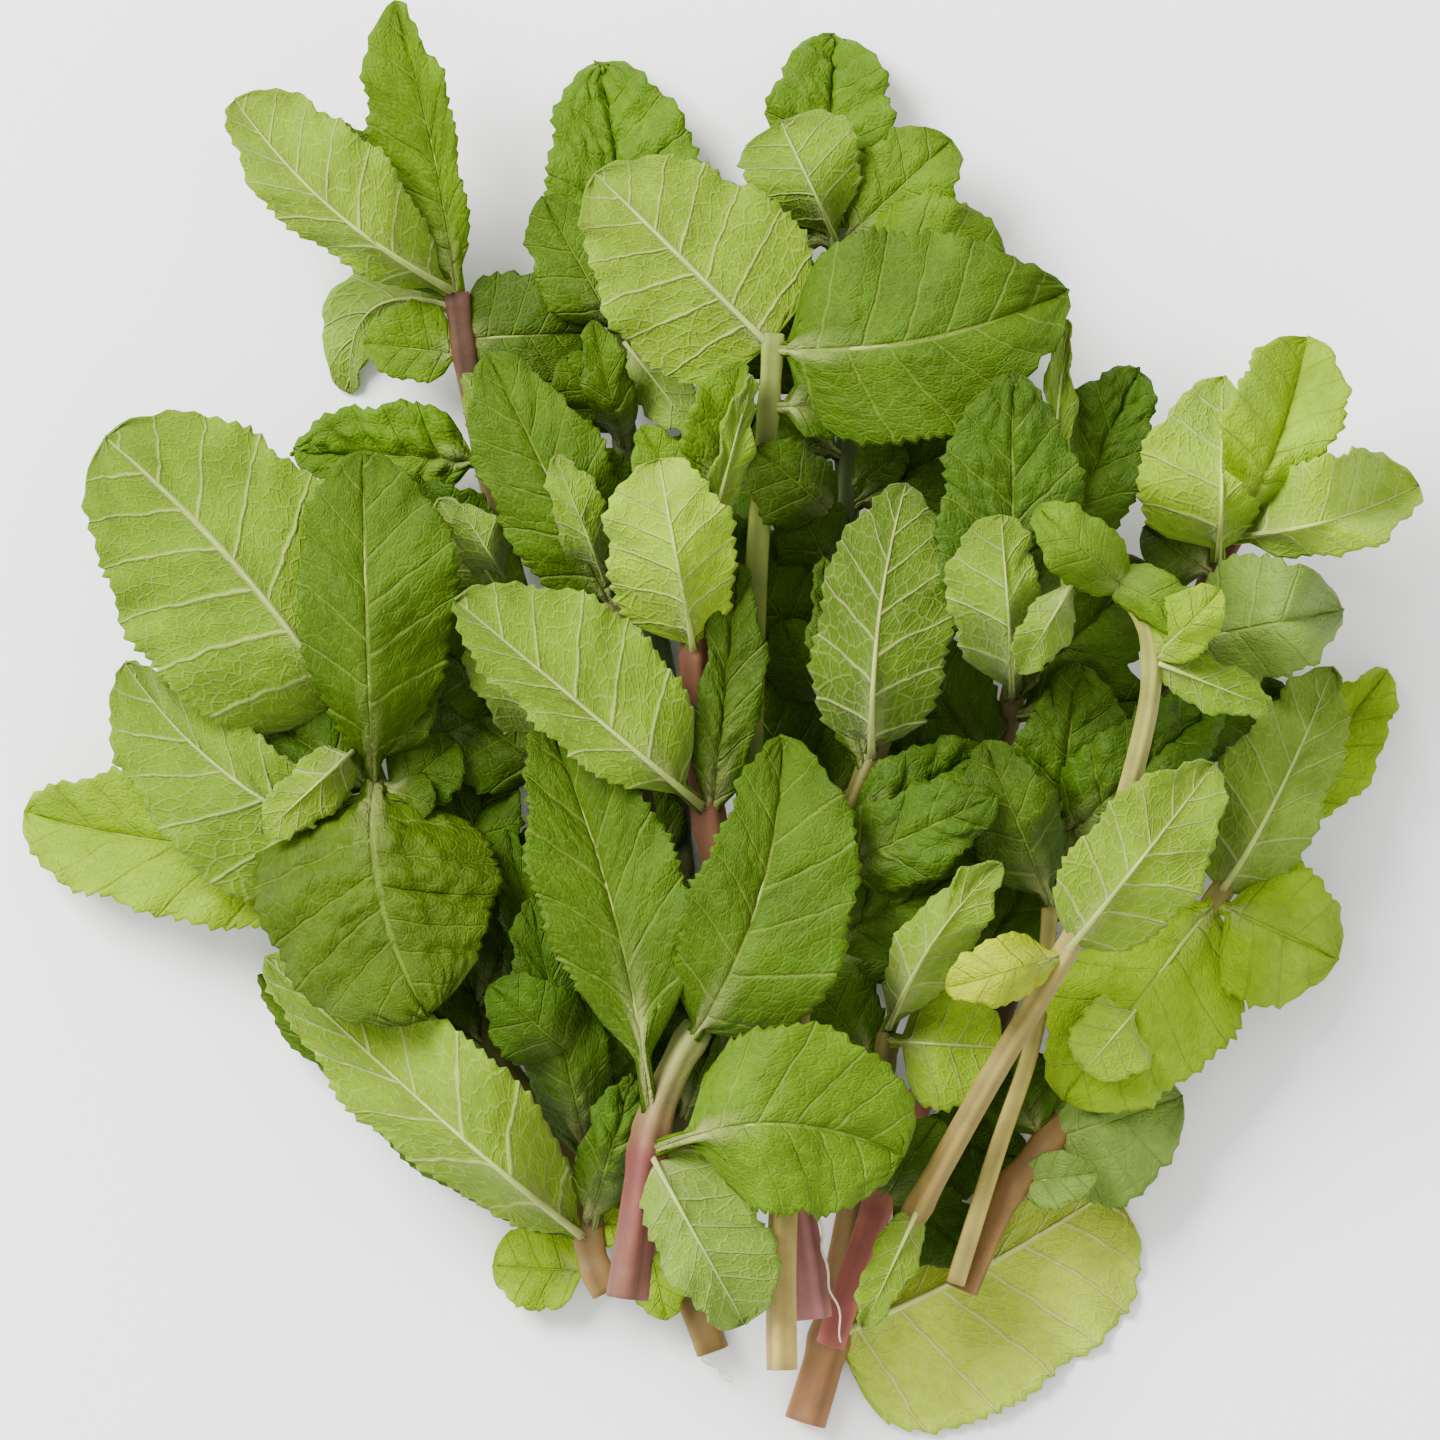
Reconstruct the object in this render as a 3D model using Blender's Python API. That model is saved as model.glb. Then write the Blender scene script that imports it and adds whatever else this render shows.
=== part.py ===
"""A bunch of fresh mint lying on a table.

Sixteen leafy stems are laid down one over another, cut ends together at the front and tips
fanned out behind. Each leafy stem is one solid: a square stem with its toothed leaves grown
out of it. Metres, +Z up, the table at z = 0, the middle of the bunch over the origin.
"""
import math

import bmesh
import bpy
import numpy as np

MM = 0.001
SEED = 11

# The drawing below is centred on this point, so the finished bunch is centred on the origin.
BUNCH_CENTRE = (0.1, 0.5)

# Leaves, in millimetres: thickness of the blade and of its stalk, how far the blade takes to
# thin down from one to the other, and the depth of a tooth on the margin.
BLADE = 0.7
STALK = 1.5
STALK_RUN = 8.0
STALK_HALF_WIDTH = 1.1
STEEPEST = 0.4
TOOTH_DEPTH = 1.0
LARGE_LEAF = 27.0

# Teeth on each side of a large and of a small leaf, and how far on each tooth has its point.
TEETH_LARGE = 5
TEETH_SMALL = 4
TOOTH_REACH = 0.72

# Outline: how round the blade is at its root, and how far forward the side veins sweep.
VEIN_SWEEP = 0.7

# Air kept between two layers, over a stem and over the table, in millimetres. Near its own
# root a leaf is free of its own stem.
LAYER_GAP = 1.75
STEM_GAP = 0.9
TABLE_GAP = 0.5
ROOT_FREE = 6.0
NO_FLOOR = -50.0

# The map of how high the pile stands so far: square cells over a square field.
CELL = 1.0
FIELD = 116.0
CELLS = 232

# Stations along a leaf at which its height is settled, and the finer net that is tested,
# which reaches a little beyond the margin to take in the teeth.
STATIONS = 17
TEST_ROWS = 33
TEST_COLUMNS = 13
TEST_EDGE = 1.08

# Settling a leaf: rounds, share of the shortfall taken up in each, share of the width that
# belongs to the midrib or to a margin, how far the lines of a leaf drag one another along, and
# the share of its length over which it rises from its root.
SETTLING_ROUNDS = 45
SETTLING_PACE = 0.6
MIDRIB_BAND = 0.6
MARGIN_BAND = 0.3
DRAG = 0.15
SWING = 0.3
LEAST_SWING = 0.05

# Stems: points on each line, every how many of them is a station of the solid, points between
# two knots of a route, rounds of easing, and the bands across a stem that are tested and laid.
STEM_SAMPLES = 57
STEM_STEP = 4
ROUTE_STEPS = 12
STEM_ROUNDS = 10
STEM_ROUNDING = 16.0
STEM_SLOPE = 0.26
STRAIGHT_ROUNDS = 20
STRAIGHT_PACE = 0.35
BANDS_UNDER = (-1.25, -0.6, 0, 0.6, 1.25)
BANDS_OVER = (-1, -0.5, 0, 0.5, 1)
FINE = 4

# Waves of the margin, in millimetres and waves a leaf, and the chance twist in degrees.
WAVE_HEIGHT = (0.3, 0.9)
WAVE_COUNT = (1.2, 2.1)
TWIST = 5.0


def leaf(tier, root, tip, left, right, rise=2, arch=3, fold=(9, 9), bow=0, twist=0,
         blunt=0.62, heel=0.48, stalk=3, settle=False):
    """One leaf in millimetres and degrees: where it grows, where its tip lies, its half widths
    left and right of the midrib, how it rises, arches, folds, bows and twists, and how blunt
    its tip and its heel are. A lower number is blunter."""
    return dict(tier=tier, root=root, tip=tip, halves=(left, right), rise=rise, arch=arch,
                fold=fold, bow=bow, twist=twist, blunt=blunt, heel=heel, stalk=stalk,
                settle=settle)


def sprig(name, tier, thick, thin, route, leaves, colour):
    """One leafy stem: its thickness at the cut end and at the tip, its route and its leaves."""
    return dict(name=name, tier=tier, thick=thick, thin=thin, route=route, leaves=leaves,
                colour=colour)


SPRIGS = [
    sprig("left_arm_sprig", 0, 4.6, 3.0,
          [(-1, -89, 0), (-4, -81, 0), (-12, -70, 0), (-23, -59, 1), (-33, -45, 4),
           (-41, -28, 8), (-49, -8, 12), (-52, 2, 14)],
          [leaf(0, (-46, -17), (-98, -13), 10.5, 9.5, rise=-12, arch=5, bow=2.5, blunt=0.45,
                heel=0.4, settle=True),
           leaf(1, (-47, -11), (-73, 7), 8, 9, rise=-6, arch=3),
           leaf(1, (-35, -42), (-20, -13), 7, 7.5, rise=-3, arch=3),
           leaf(1, (-24, -58), (-5, -36), 8, 8, rise=-1, arch=2),
           leaf(3, (-44, -20), (-83.5, 8), 13, 7, fold=(-14, -16), bow=4.5, heel=0.38),
           leaf(5, (-47, -8), (-50, 37.5), 9.2, 12.5, rise=2, fold=(-14, -8), heel=0.75),
           leaf(4, (-51.5, 0), (-86, 39.5), 17.8, 17, rise=6, arch=5, fold=(-10, -8), bow=-2,
                blunt=0.5, heel=0.3),
           leaf(4, (-48, -7), (-40, 9), 4, 4.5, rise=2, arch=2, fold=(25, 20)),
           leaf(4, (-47, -8), (-40, -12), 3.5, 4, rise=-1, arch=1),
           leaf(6, (-52, -3), (-64, -16), 4, 3.8, rise=1, arch=2, fold=(-12, -12), blunt=0.5,
                heel=0.35, stalk=2),
           leaf(6, (-49, -8), (-41, -41), 16.5, 17, rise=-6, arch=9, fold=(-16, -20), bow=-2.5,
                blunt=0.5, heel=0.3),
           leaf(1, (-10, -73), (-7.5, -84.5), 4.6, 4.4, rise=0, arch=1, heel=0.3, stalk=1),
           leaf(1, (-40, -30), (-31, -6), 7, 6.5, rise=-2, arch=2),
           leaf(2, (-47, -12), (-37, -3), 5.5, 5.5, rise=-1, arch=2),
           leaf(1, (-32, -47), (-43, -39), 4.5, 5, rise=-1, arch=2)],
          "#6F9534"),
    sprig("top_left_sprig", 0, 4.4, 3.2,
          [(-12.5, -59, 0), (-12.8, -46, 0), (-14, -32, 0), (-18, -16, 1), (-23, -5, 3),
           (-31, 28, 6), (-36, 51, 9), (-37, 60, 10)],
          [leaf(0, (-37, 57), (-52, 46), 3, 5.5, rise=-8, arch=1, fold=(-20, -30), bow=-7.5,
                settle=True),
           leaf(1, (-36, 54), (-18.6, 54.5), 9, 9, rise=-2, fold=(-12, -8), heel=0.25, stalk=1),
           leaf(1, (-34, 37), (-60, 37.8), 6.5, 7.5, rise=-2, heel=0.4),
           leaf(2, (-37, 58), (-54, 83.5), 5.5, 6, rise=1, arch=2, fold=(14, 14)),
           leaf(2, (-35.5, 52), (-50, 53), 4.5, 6.5, rise=-1, arch=2, blunt=0.5, heel=0.3,
                stalk=2),
           leaf(3, (-37, 60), (-45.6, 100.8), 8.8, 3.4, rise=8, arch=4, fold=(10, 42), bow=-1,
                blunt=0.6),
           leaf(4, (-37, 59), (-68, 87), 5.5, 10, rise=5, arch=4, fold=(-14, -9), bow=2.7,
                blunt=0.48, heel=0.6),
           leaf(1, (-28, 15), (-47, 33), 8, 7.5, rise=-1, arch=2),
           leaf(1, (-22, -8), (-42, 5), 8, 8, rise=-1, arch=2),
           leaf(3, (-27, 13), (-39.5, 31), 4.6, 4.6, arch=2, fold=(-35, 28)),
           leaf(3, (-28, 18), (-36.5, 30), 3.6, 3.6, rise=4, arch=1, fold=(-20, -20)),
           leaf(4, (-23, -7), (-35, 14), 4.6, 5.6, rise=3, arch=2, fold=(-16, -16)),
           leaf(1, (-25, 2), (-45, 13), 6.5, 6.5, rise=-1, arch=2)],
          "#7EA63C"),
    sprig("top_inner_left_sprig", 0, 4.2, 3.0,
          [(-5.5, -61, 0), (-5.5, -45, 0), (-5.5, -28, 0), (-7, 0, 1), (-11, 22, 3), (-14, 45, 6),
           (-14, 56, 6)],
          [leaf(1, (-14, 54), (-17, 92.6), 10.5, 11.5, rise=-5, arch=4, fold=(10, 8), bow=-1.5,
                blunt=0.5, heel=0.35, settle=True),
           leaf(1, (-10, 17), (-27, 41), 8.5, 8.5, rise=-2, arch=3),
           leaf(1, (-10, 17), (6, 44), 8.5, 8.5, rise=-2, arch=3),
           leaf(1, (-5.8, -35), (10, -19), 8, 8, rise=-1, arch=2),
           leaf(2, (-14, 53), (-25, 73.5), 6.5, 6, rise=1, fold=(-10, -10), heel=0.4),
           leaf(2, (-14, 53), (-4, 41), 4.5, 4, rise=0, arch=2, fold=(-12, -12)),
           leaf(3, (-13.5, 38), (-18, 56), 3.2, 3.4, rise=6, arch=1, fold=(20, 20)),
           leaf(2, (-12.5, 40), (-22, 51), 5, 5.5, rise=0, arch=2),
           leaf(1, (-5.5, -56), (1, -40), 5, 5, rise=-1, arch=2),
           leaf(1, (-5.8, -21), (-12.5, -7), 4, 4, rise=-1, arch=2)],
          "#5F8F2A"),
    sprig("top_centre_sprig", 2, 4.4, 3.0,
          [(1, -60, 1), (2, -45, 4), (4, -12, 11), (5, 20, 18), (7, 46, 24), (7.5, 54, 25)],
          [leaf(5, (7.5, 52), (48.5, 60), 16, 13.5, rise=-5, arch=6, fold=(-6, -14), bow=-3,
                blunt=0.66, heel=0.33),
           leaf(6, (6.5, 51), (-17.5, 76.5), 13.5, 14.5, rise=-2, arch=4, fold=(-12, -8),
                blunt=0.6, heel=0.3, stalk=1),
           leaf(3, (6.8, 44.5), (19, 44), 5, 4.6, rise=0, arch=2)],
          "#86A840"),
    sprig("top_right_sprig", 1, 4.2, 2.8,
          [(14, -60, 0), (13.5, -42, 0), (14, -12, 3), (18, 34, 7), (17, 60, 8), (16.5, 69, 9)],
          [leaf(1, (16, 67), (0.7, 73.5), 4.5, 4.2, rise=-2, arch=2, heel=0.35),
           leaf(1, (17, 68), (16, 96.2), 8.6, 8.6, rise=-6, arch=4, bow=0.5, blunt=0.42,
                heel=0.4, settle=True),
           leaf(2, (17, 67), (32.5, 81.5), 7, 6.5, rise=1, fold=(-6, 8), blunt=0.5),
           leaf(3, (17, 65), (40, 64.5), 9, 6, rise=0, arch=4, fold=(-12, -6), blunt=0.5),
           leaf(3, (16.5, 67), (8.5, 84), 8, 8.5, rise=4, arch=2, fold=(-24, -20), blunt=0.36,
                heel=0.6),
           leaf(1, (17.5, 45), (0, 66), 9, 9, rise=-3, arch=3),
           leaf(1, (17.6, 46), (40, 59), 9, 9.5, rise=-3, arch=4),
           leaf(1, (17.5, 30), (42, 43), 8.5, 8.5, rise=-2, arch=3),
           leaf(1, (13.7, -38), (29, -20), 8, 8, rise=-1, arch=3),
           leaf(1, (16, 4), (-1, 28), 8, 8.5, rise=-2, arch=3),
           leaf(1, (16, 5), (36, 26), 8.5, 8.5, rise=-2, arch=3),
           leaf(2, (18, 27), (5, 38), 6.5, 5, rise=2, arch=3),
           leaf(2, (18, 31), (26, 38), 3.8, 3.4, rise=1, arch=1, stalk=2),
           leaf(1, (14.2, -12), (1.5, 6), 7, 7.5, rise=-1, arch=2),
           leaf(1, (14.2, -15), (28, 1), 7.5, 7, rise=-1, arch=2),
           leaf(1, (16.5, 18), (10, 32), 5.5, 5.5, rise=-1, arch=2),
           leaf(1, (15.2, 0), (8.5, 14), 5, 5, rise=-1, arch=2),
           leaf(1, (17.8, 36), (6, 42.5), 4.5, 4.5, rise=-1, arch=2)],
          "#7DA238"),
    sprig("right_inner_sprig", 1, 4.4, 3.0,
          [(15.5, -88, 5), (22.5, -67, 3), (31.5, -44, 3), (36.5, -20, 7), (41, 3, 14),
           (45, 20, 18)],
          [leaf(1, (32, -37), (47, -17), 7.5, 7.5, rise=-1, arch=2),
           leaf(1, (39, -8), (24, 13), 7.5, 7.5, rise=-2, arch=3),
           leaf(1, (35, -22), (21, 1), 8.5, 8, rise=-3, arch=3),
           leaf(1, (41, 3), (60, 22), 8, 8, rise=-5, arch=3),
           leaf(2, (44, 17), (37, 47.5), 5, 3.2, rise=1, arch=2, fold=(20, 20)),
           leaf(2, (44, 18), (58.5, 49), 8.4, 6.6, rise=1, blunt=0.5, heel=0.4),
           leaf(3, (44, 19), (48.5, 56), 2.2, 2.2, rise=4, arch=1, fold=(48, -48)),
           leaf(6, (41, 5), (40.5, 48), 10.5, 9.5, rise=4, arch=4, fold=(6, -4), blunt=0.6,
                heel=0.5),
           leaf(6, (41, 2), (39, 28.5), 8, 4.5, rise=4, arch=3, fold=(-22, -30), blunt=0.45),
           leaf(1, (26.5, -57), (43, -62), 6.5, 7, rise=-1, arch=2, settle=True),
           leaf(1, (23.5, -65), (36, -76), 5.5, 5.5, rise=-1, arch=2, settle=True),
           leaf(1, (40.5, 0), (60, 3), 7, 6, rise=-2, arch=2),
           leaf(1, (23, -69), (31, -55.5), 3.6, 3.8, rise=-1, arch=2, settle=True, stalk=1)],
          "#4E7F2C"),
    sprig("right_arm_sprig", 1, 4.2, 3.0,
          [(37, -49, 1), (40, -39, 1), (45, -28, 2), (54, -9, 4), (64, 9, 7), (69, 20, 9),
           (72.5, 27, 11)],
          [leaf(2, (69, 20), (59.5, 27), 5.2, 5.2, rise=-2, arch=1, heel=0.3, stalk=2),
           leaf(3, (71, 22), (70.5, 48.2), 11.6, 5, arch=2, fold=(-14, 10), heel=0.3),
           leaf(4, (72.5, 27), (82.3, 53.6), 8, 7.4, rise=5, arch=2, fold=(22, 8), bow=-1,
                blunt=0.42),
           leaf(4, (72.5, 26), (98, 33), 8.8, 4.8, arch=4, fold=(-8, -8), bow=-1.5, blunt=0.5),
           leaf(4, (64.5, 11), (87.2, 15.5), 9.8, 7.5, rise=-3, arch=4, fold=(-10, -16),
                heel=0.36),
           leaf(1, (57, -4), (80, 4), 6, 6, rise=-1, arch=2)],
          "#93B441"),
    sprig("right_low_sprig", 2, 4.6, 2.8,
          [(34, -80, 0), (40, -67, 2), (48, -57, 5), (60, -39, 7), (70, -25, 8), (76, -15, 9)],
          [leaf(2, (47, -58.5), (65, -53), 6.5, 11.5, rise=-6, fold=(-10, -24), heel=0.28,
                stalk=1, settle=True),
           leaf(2, (76, -16), (94, 7), 5, 7.2, rise=-6, arch=5, fold=(20, -14), settle=True),
           leaf(3, (70, -24), (48, -53), 13, 10.5, rise=-2, arch=5, fold=(-14, 12), blunt=0.5,
                heel=0.36),
           leaf(3, (69, -26), (87, -33.6), 9.8, 11, rise=-7, arch=4, fold=(-8, -12), heel=0.36,
                settle=True),
           leaf(3, (71, -24.5), (86, 7.5), 8.6, 6.8, rise=0, fold=(-16, -20), bow=-1, heel=0.4,
                stalk=1),
           leaf(4, (60, -36), (51, -49), 6, 5.4, rise=3, fold=(-10, 26), blunt=0.45),
           leaf(2, (45.5, -60), (38.5, -45), 5.5, 5.5, rise=-1, arch=2),
           leaf(2, (41.5, -65), (53, -63.5), 3.6, 4.2, rise=-2, arch=2, stalk=1)],
          "#97B83F"),
    sprig("centre_left_sprig", 3, 4.0, 2.8,
          [(-7, -38, 6), (-9, -24, 10), (-11.5, -8, 14), (-14.5, 14, 18), (-16, 20, 18)],
          [leaf(4, (-16, 18), (-36, 48.5), 4.4, 4, rise=1, arch=2, fold=(-26, -8)),
           leaf(5, (-14.5, 15), (-32.5, 51.3), 8.8, 8.4, rise=3, arch=4, fold=(-10, -10)),
           leaf(6, (-15, 18), (-23, 37), 3.4, 3.8, rise=3, arch=2, fold=(-14, -14))],
          "#6E9C33"),
    sprig("low_left_sprig", 3, 4.4, 3.0,
          [(-16, -80.5, 1), (-18.5, -73, 3), (-18, -56, 7), (-17, -38, 9)],
          [leaf(3, (-17, -78), (-32, -77), 5.8, 7.2, rise=-3, arch=2, blunt=0.5, heel=0.3,
                settle=True),
           leaf(3, (-18, -70), (-12.5, -71.5), 2.8, 3, rise=0, arch=1, stalk=1),
           leaf(3, (-18, -58), (-30, -15.5), 5, 5, rise=-2, arch=3),
           leaf(3, (-17.5, -64), (-17, -33), 7, 6.4, rise=1, arch=3),
           leaf(3, (-18, -62), (-26.5, -25), 6, 6, rise=0, arch=3, fold=(12, -6)),
           leaf(4, (-18.5, -73), (-65, -36), 5.6, 4, rise=-5, arch=4, fold=(-14, 10), bow=1,
                settle=True),
           leaf(5, (-18.5, -73), (-64, -33.3), 7, 10.8, rise=-1, arch=5, fold=(-16, -10),
                bow=0.5, blunt=0.7, heel=0.6),
           leaf(4, (-17.8, -72), (-12.5, -50), 4.2, 4.4, rise=0, arch=2),
           leaf(3, (-17.6, -50), (-32, -37), 6, 6.5, rise=-2, arch=2)],
          "#8FA858"),
    sprig("centre_right_sprig", 3, 4.0, 2.8,
          [(8.7, -91, 0), (8.7, -72, 4), (11, -39, 9), (16, -18, 13), (21, -7, 16), (24, 2, 17)],
          [leaf(4, (21, -8), (14.5, 22.5), 4.2, 4.4, rise=0, arch=2, fold=(18, 18)),
           leaf(4, (17, -15), (37, -4), 5.4, 5, rise=-2, arch=3),
           leaf(5, (15, -22), (38.5, -10.5), 6.4, 6.4, rise=0, heel=0.36),
           leaf(5, (21.5, -7), (26, 33), 8.6, 9.7, rise=5, arch=4, fold=(-24, -8), bow=1.5,
                blunt=0.6, heel=0.36),
           leaf(4, (13, -31), (37.5, -20), 5.4, 6, rise=-1)],
          "#6B9440"),
    sprig("low_right_sprig", 0, 5.2, 3.2,
          [(12, -99, 0), (15.5, -87, 0), (18, -74, 1), (20.5, -59, 3), (23.5, -44, 8)],
          [leaf(0, (16, -87), (55.4, -66), 6, 19, rise=-3, fold=(-4, -5), bow=-1, blunt=0.3,
                heel=0.2, stalk=1, settle=True),
           leaf(5, (23.5, -45), (39.5, -46), 8, 9, arch=2, fold=(-8, -12), blunt=0.4, heel=0.3),
           leaf(6, (23.5, -44), (39.3, -20), 4.2, 4.8, rise=5, arch=3, fold=(-18, -14), bow=2),
           leaf(1, (22.6, -49), (11, -35), 6.5, 6.5, rise=-3, arch=2)],
          "#A9BE66"),
    sprig("short_tan_sprig", 3, 2.8, 2.2,
          [(33, -79, 4), (39, -60, 7), (44, -45, 11), (46, -30, 14), (47, -14, 16)],
          [leaf(4, (46.5, -22), (50, 7.8), 7, 9.6, rise=0, heel=0.4),
           leaf(4, (47, -18), (69.8, 3), 7.4, 7.4, rise=-1, heel=0.4),
           leaf(4, (46, -26), (37, -3), 7, 6, rise=0, arch=3, fold=(-8, 8))],
          "#557E2B"),
    sprig("centre_sprig", 2, 5.0, 3.2,
          [(13, -84, 3), (11, -70, 4), (5.5, -46, 8), (-0.5, -20, 19), (-3, -2, 22),
           (-3.5, 14, 23), (-1, 32, 25)],
          [leaf(4, (-1, -14), (2.5, 22), 3.6, 5.2, rise=-4, arch=2, fold=(20, 20)),
           leaf(5, (-2, 25), (-11, 41), 4.4, 4, rise=1, arch=1),
           leaf(6, (-1, 30), (3, 50), 6, 3, rise=5, arch=1, fold=(24, 40)),
           leaf(6, (-2, 21), (4.5, 48), 2.2, 2.4, rise=5, arch=1, fold=(50, -40)),
           leaf(6, (-4, 8), (-8.5, 36.5), 9.6, 8, rise=4, arch=4, fold=(-10, -12), blunt=0.5,
                heel=0.44),
           leaf(7, (-2, -13), (-37, 16.8), 6, 13, rise=3, arch=6, fold=(2, -6), stalk=6)],
          "#9AB552"),
    sprig("front_sprig", 6, 5.4, 3.8,
          [(-13, -81, 4), (-11.5, -70, 9), (-9.5, -57, 16), (-6, -48, 21), (-3, -43, 23)],
          [leaf(6, (-8.5, -60), (3.5, -84.5), 9.4, 5.6, rise=-10, arch=4, fold=(-12, -18),
                blunt=0.36, heel=0.33, stalk=2),
           leaf(6, (-9.3, -57), (-24.6, 0.8), 9.4, 10.4, rise=0, arch=5, fold=(8, 9), bow=-2.5,
                stalk=13),
           leaf(8, (-3.5, -45), (8.5, -2.3), 8.7, 13.6, rise=5, arch=6, fold=(7, 6), bow=-3.5,
                heel=0.4),
           leaf(9, (-8.8, -61), (25.5, -61), 13.5, 12.5, arch=6, fold=(-8, -10), bow=4.5,
                blunt=0.42, heel=0.36, stalk=8)],
          "#79A033"),
    sprig("long_tan_sprig", 7, 3.4, 2.4,
          [(21, -81, 6), (29, -66, 11), (39, -48, 17), (48, -33, 22), (54.6, -18, 26),
           (60, 3, 30), (60.5, 11, 31), (58, 17.5, 31), (53, 21, 30), (47.5, 20, 28)],
          [leaf(7, (28, -68), (20, -85.4), 3, 3.4, rise=-7, arch=2, fold=(-16, -16), stalk=1),
           leaf(7, (61, 8), (77, 1.5), 3.5, 3.5, rise=-2, arch=2, fold=(-14, -14), stalk=1),
           leaf(7, (49, 20.5), (41.5, 6.5), 3.4, 3.4, rise=-4, arch=2, fold=(-34, -24)),
           leaf(8, (57.5, 18.5), (44, 29.6), 5, 4.6, rise=-2, fold=(-14, -10), stalk=1),
           leaf(8, (54, 21), (68, 12.6), 4.4, 3, rise=0, arch=2, fold=(-14, -30), stalk=1),
           leaf(8, (60.8, 8.5), (69.5, 18), 4.6, 4, rise=1, arch=2, fold=(-8, -8), stalk=1),
           leaf(8, (48, -34), (69, -6.2), 8.4, 8.6, arch=4, fold=(-12, -10), heel=0.4),
           leaf(8, (47.5, -33.5), (31.5, -37.5), 4, 5, rise=0, arch=3, fold=(-14, -14), stalk=2)],
          "#A3B45C"),
]


def on_table(point):
    """A point of the drawing, in millimetres, as it lies over the origin."""
    return np.array(point, dtype=float) - np.array(BUNCH_CENTRE)


def smooth_route(route, samples):
    """Even points along a smooth curve through the route's own points."""
    points = [(*on_table(p[:2]), p[2]) for p in route]
    knots = np.array([points[0]] + points + [points[-1]], dtype=float)
    dense = []
    for i in range(1, len(knots) - 2):
        before, start, end, after = knots[i - 1:i + 3]
        for t in np.linspace(0, 1, ROUTE_STEPS, endpoint=False):
            dense.append(0.5 * (2 * start + (end - before) * t
                                + (2 * before - 5 * start + 4 * end - after) * t ** 2
                                + (3 * start - before - 3 * end + after) * t ** 3))
    dense.append(knots[-2])
    dense = np.array(dense)
    lengths = np.linalg.norm(np.diff(dense, axis=0), axis=1)
    along = np.concatenate(([0], np.cumsum(lengths)))
    even = np.linspace(0, along[-1], samples)
    return np.column_stack([np.interp(even, along, dense[:, axis]) for axis in range(3)])


class Pile:
    """How high the leaves and stems laid so far stand over each cell of the table."""

    def __init__(self):
        self.top = np.zeros((CELLS, CELLS))
        self.owner = np.full((CELLS, CELLS), -1)

    def cells(self, x, y):
        column = np.clip(((x + FIELD) / CELL).astype(int), 1, CELLS - 2)
        row = np.clip(((y + FIELD) / CELL).astype(int), 1, CELLS - 2)
        return row, column

    def height(self, x, y):
        row, column = self.cells(x, y)
        return self.top[row, column], self.owner[row, column]

    def lay(self, x, y, z, owner):
        """Raise the cells under the points, and their neighbours, to the points' height."""
        row, column = self.cells(x.ravel(), y.ravel())
        z = z.ravel()
        for down in (-1, 0, 1):
            for across in (-1, 0, 1):
                place = (row + down, column + across)
                np.maximum.at(self.top, place, z)
                mine = self.top[place] <= z
                self.owner[place[0][mine], place[1][mine]] = owner


def lay_stem(pile, item, owner):
    """Lay a stem over what is there. It holds straight between the points it rests on."""
    line = smooth_route(item["route"], STEM_SAMPLES)
    share = np.linspace(0, 1, STEM_SAMPLES)
    half = (item["thick"] + (item["thin"] - item["thick"]) * share) / 2
    ahead = np.gradient(line[:, :2], axis=0)
    ahead /= np.linalg.norm(ahead, axis=1)[:, None]
    side = np.column_stack((-ahead[:, 1], ahead[:, 0]))
    under = np.zeros(STEM_SAMPLES)
    for offset in BANDS_UNDER:
        band = line[:, :2] + side * (half * offset)[:, None]
        top, _ = pile.height(band[:, 0], band[:, 1])
        under = np.maximum(under, top)
    resting = np.where(under > 0, under + STEM_GAP, 0)
    needed = np.maximum(resting, line[:, 2]) + half
    apart = np.linalg.norm(line[:, None, :2] - line[None, :, :2], axis=2)
    drop = np.where(apart < STEM_ROUNDING, apart ** 2 / (2 * STEM_ROUNDING),
                    apart - STEM_ROUNDING / 2) * STEM_SLOPE
    height = (needed - drop).max(axis=1)
    for _ in range(STEM_ROUNDS):
        height[1:-1] = (height[:-2] + 2 * height[1:-1] + height[2:]) / 4
    height = straight_runs(height, needed)
    stations = np.arange(0, STEM_SAMPLES, STEM_STEP)
    fine = np.linspace(0, STEM_SAMPLES - 1, FINE * STEM_SAMPLES)
    line = np.column_stack((line[:, :2], height))
    item["line"] = np.column_stack(
        [np.interp(np.arange(STEM_SAMPLES), stations, line[stations, axis]) for axis in range(3)])
    item["half"] = half
    for offset in BANDS_OVER:
        band = np.column_stack((item["line"][:, :2] + side * (half * offset)[:, None],
                                item["line"][:, 2] + half))
        x, y, z = [np.interp(fine, np.arange(STEM_SAMPLES), band[:, axis]) for axis in range(3)]
        pile.lay(x, y, z, owner)


def straight_runs(height, needed):
    """Heights of a stem that runs straight between its stations and clears what it crosses."""
    samples = np.arange(STEM_SAMPLES)
    stations = samples[::STEM_STEP]
    knots = height[stations]
    for _ in range(STRAIGHT_ROUNDS):
        short = np.maximum(needed - np.interp(samples, stations, knots), 0)
        for place, station in enumerate(stations):
            near = short[max(station - STEM_STEP, 0):station + STEM_STEP + 1]
            knots[place] += near.max() * STRAIGHT_PACE
    return np.interp(samples, stations, knots)


def root_on_stem(item, root):
    """The point of the stem's middle line nearest to where the leaf is drawn."""
    gaps = np.linalg.norm(item["line"][:, :2] - on_table(root), axis=1)
    return item["line"][np.argmin(gaps)]


def outline_width(spec, share):
    """Half width, as a share of the widest, along the leaf: stalk first, then the blade."""
    stalk = spec["stalk"] / spec["length"]
    blade = np.clip((share - stalk) / (1 - stalk), 0, 1)
    heel, blunt = spec["heel"], spec["blunt"]
    peak = heel / (heel + blunt)
    return blade ** heel * (1 - blade) ** blunt / (peak ** heel * (1 - peak) ** blunt)


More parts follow.
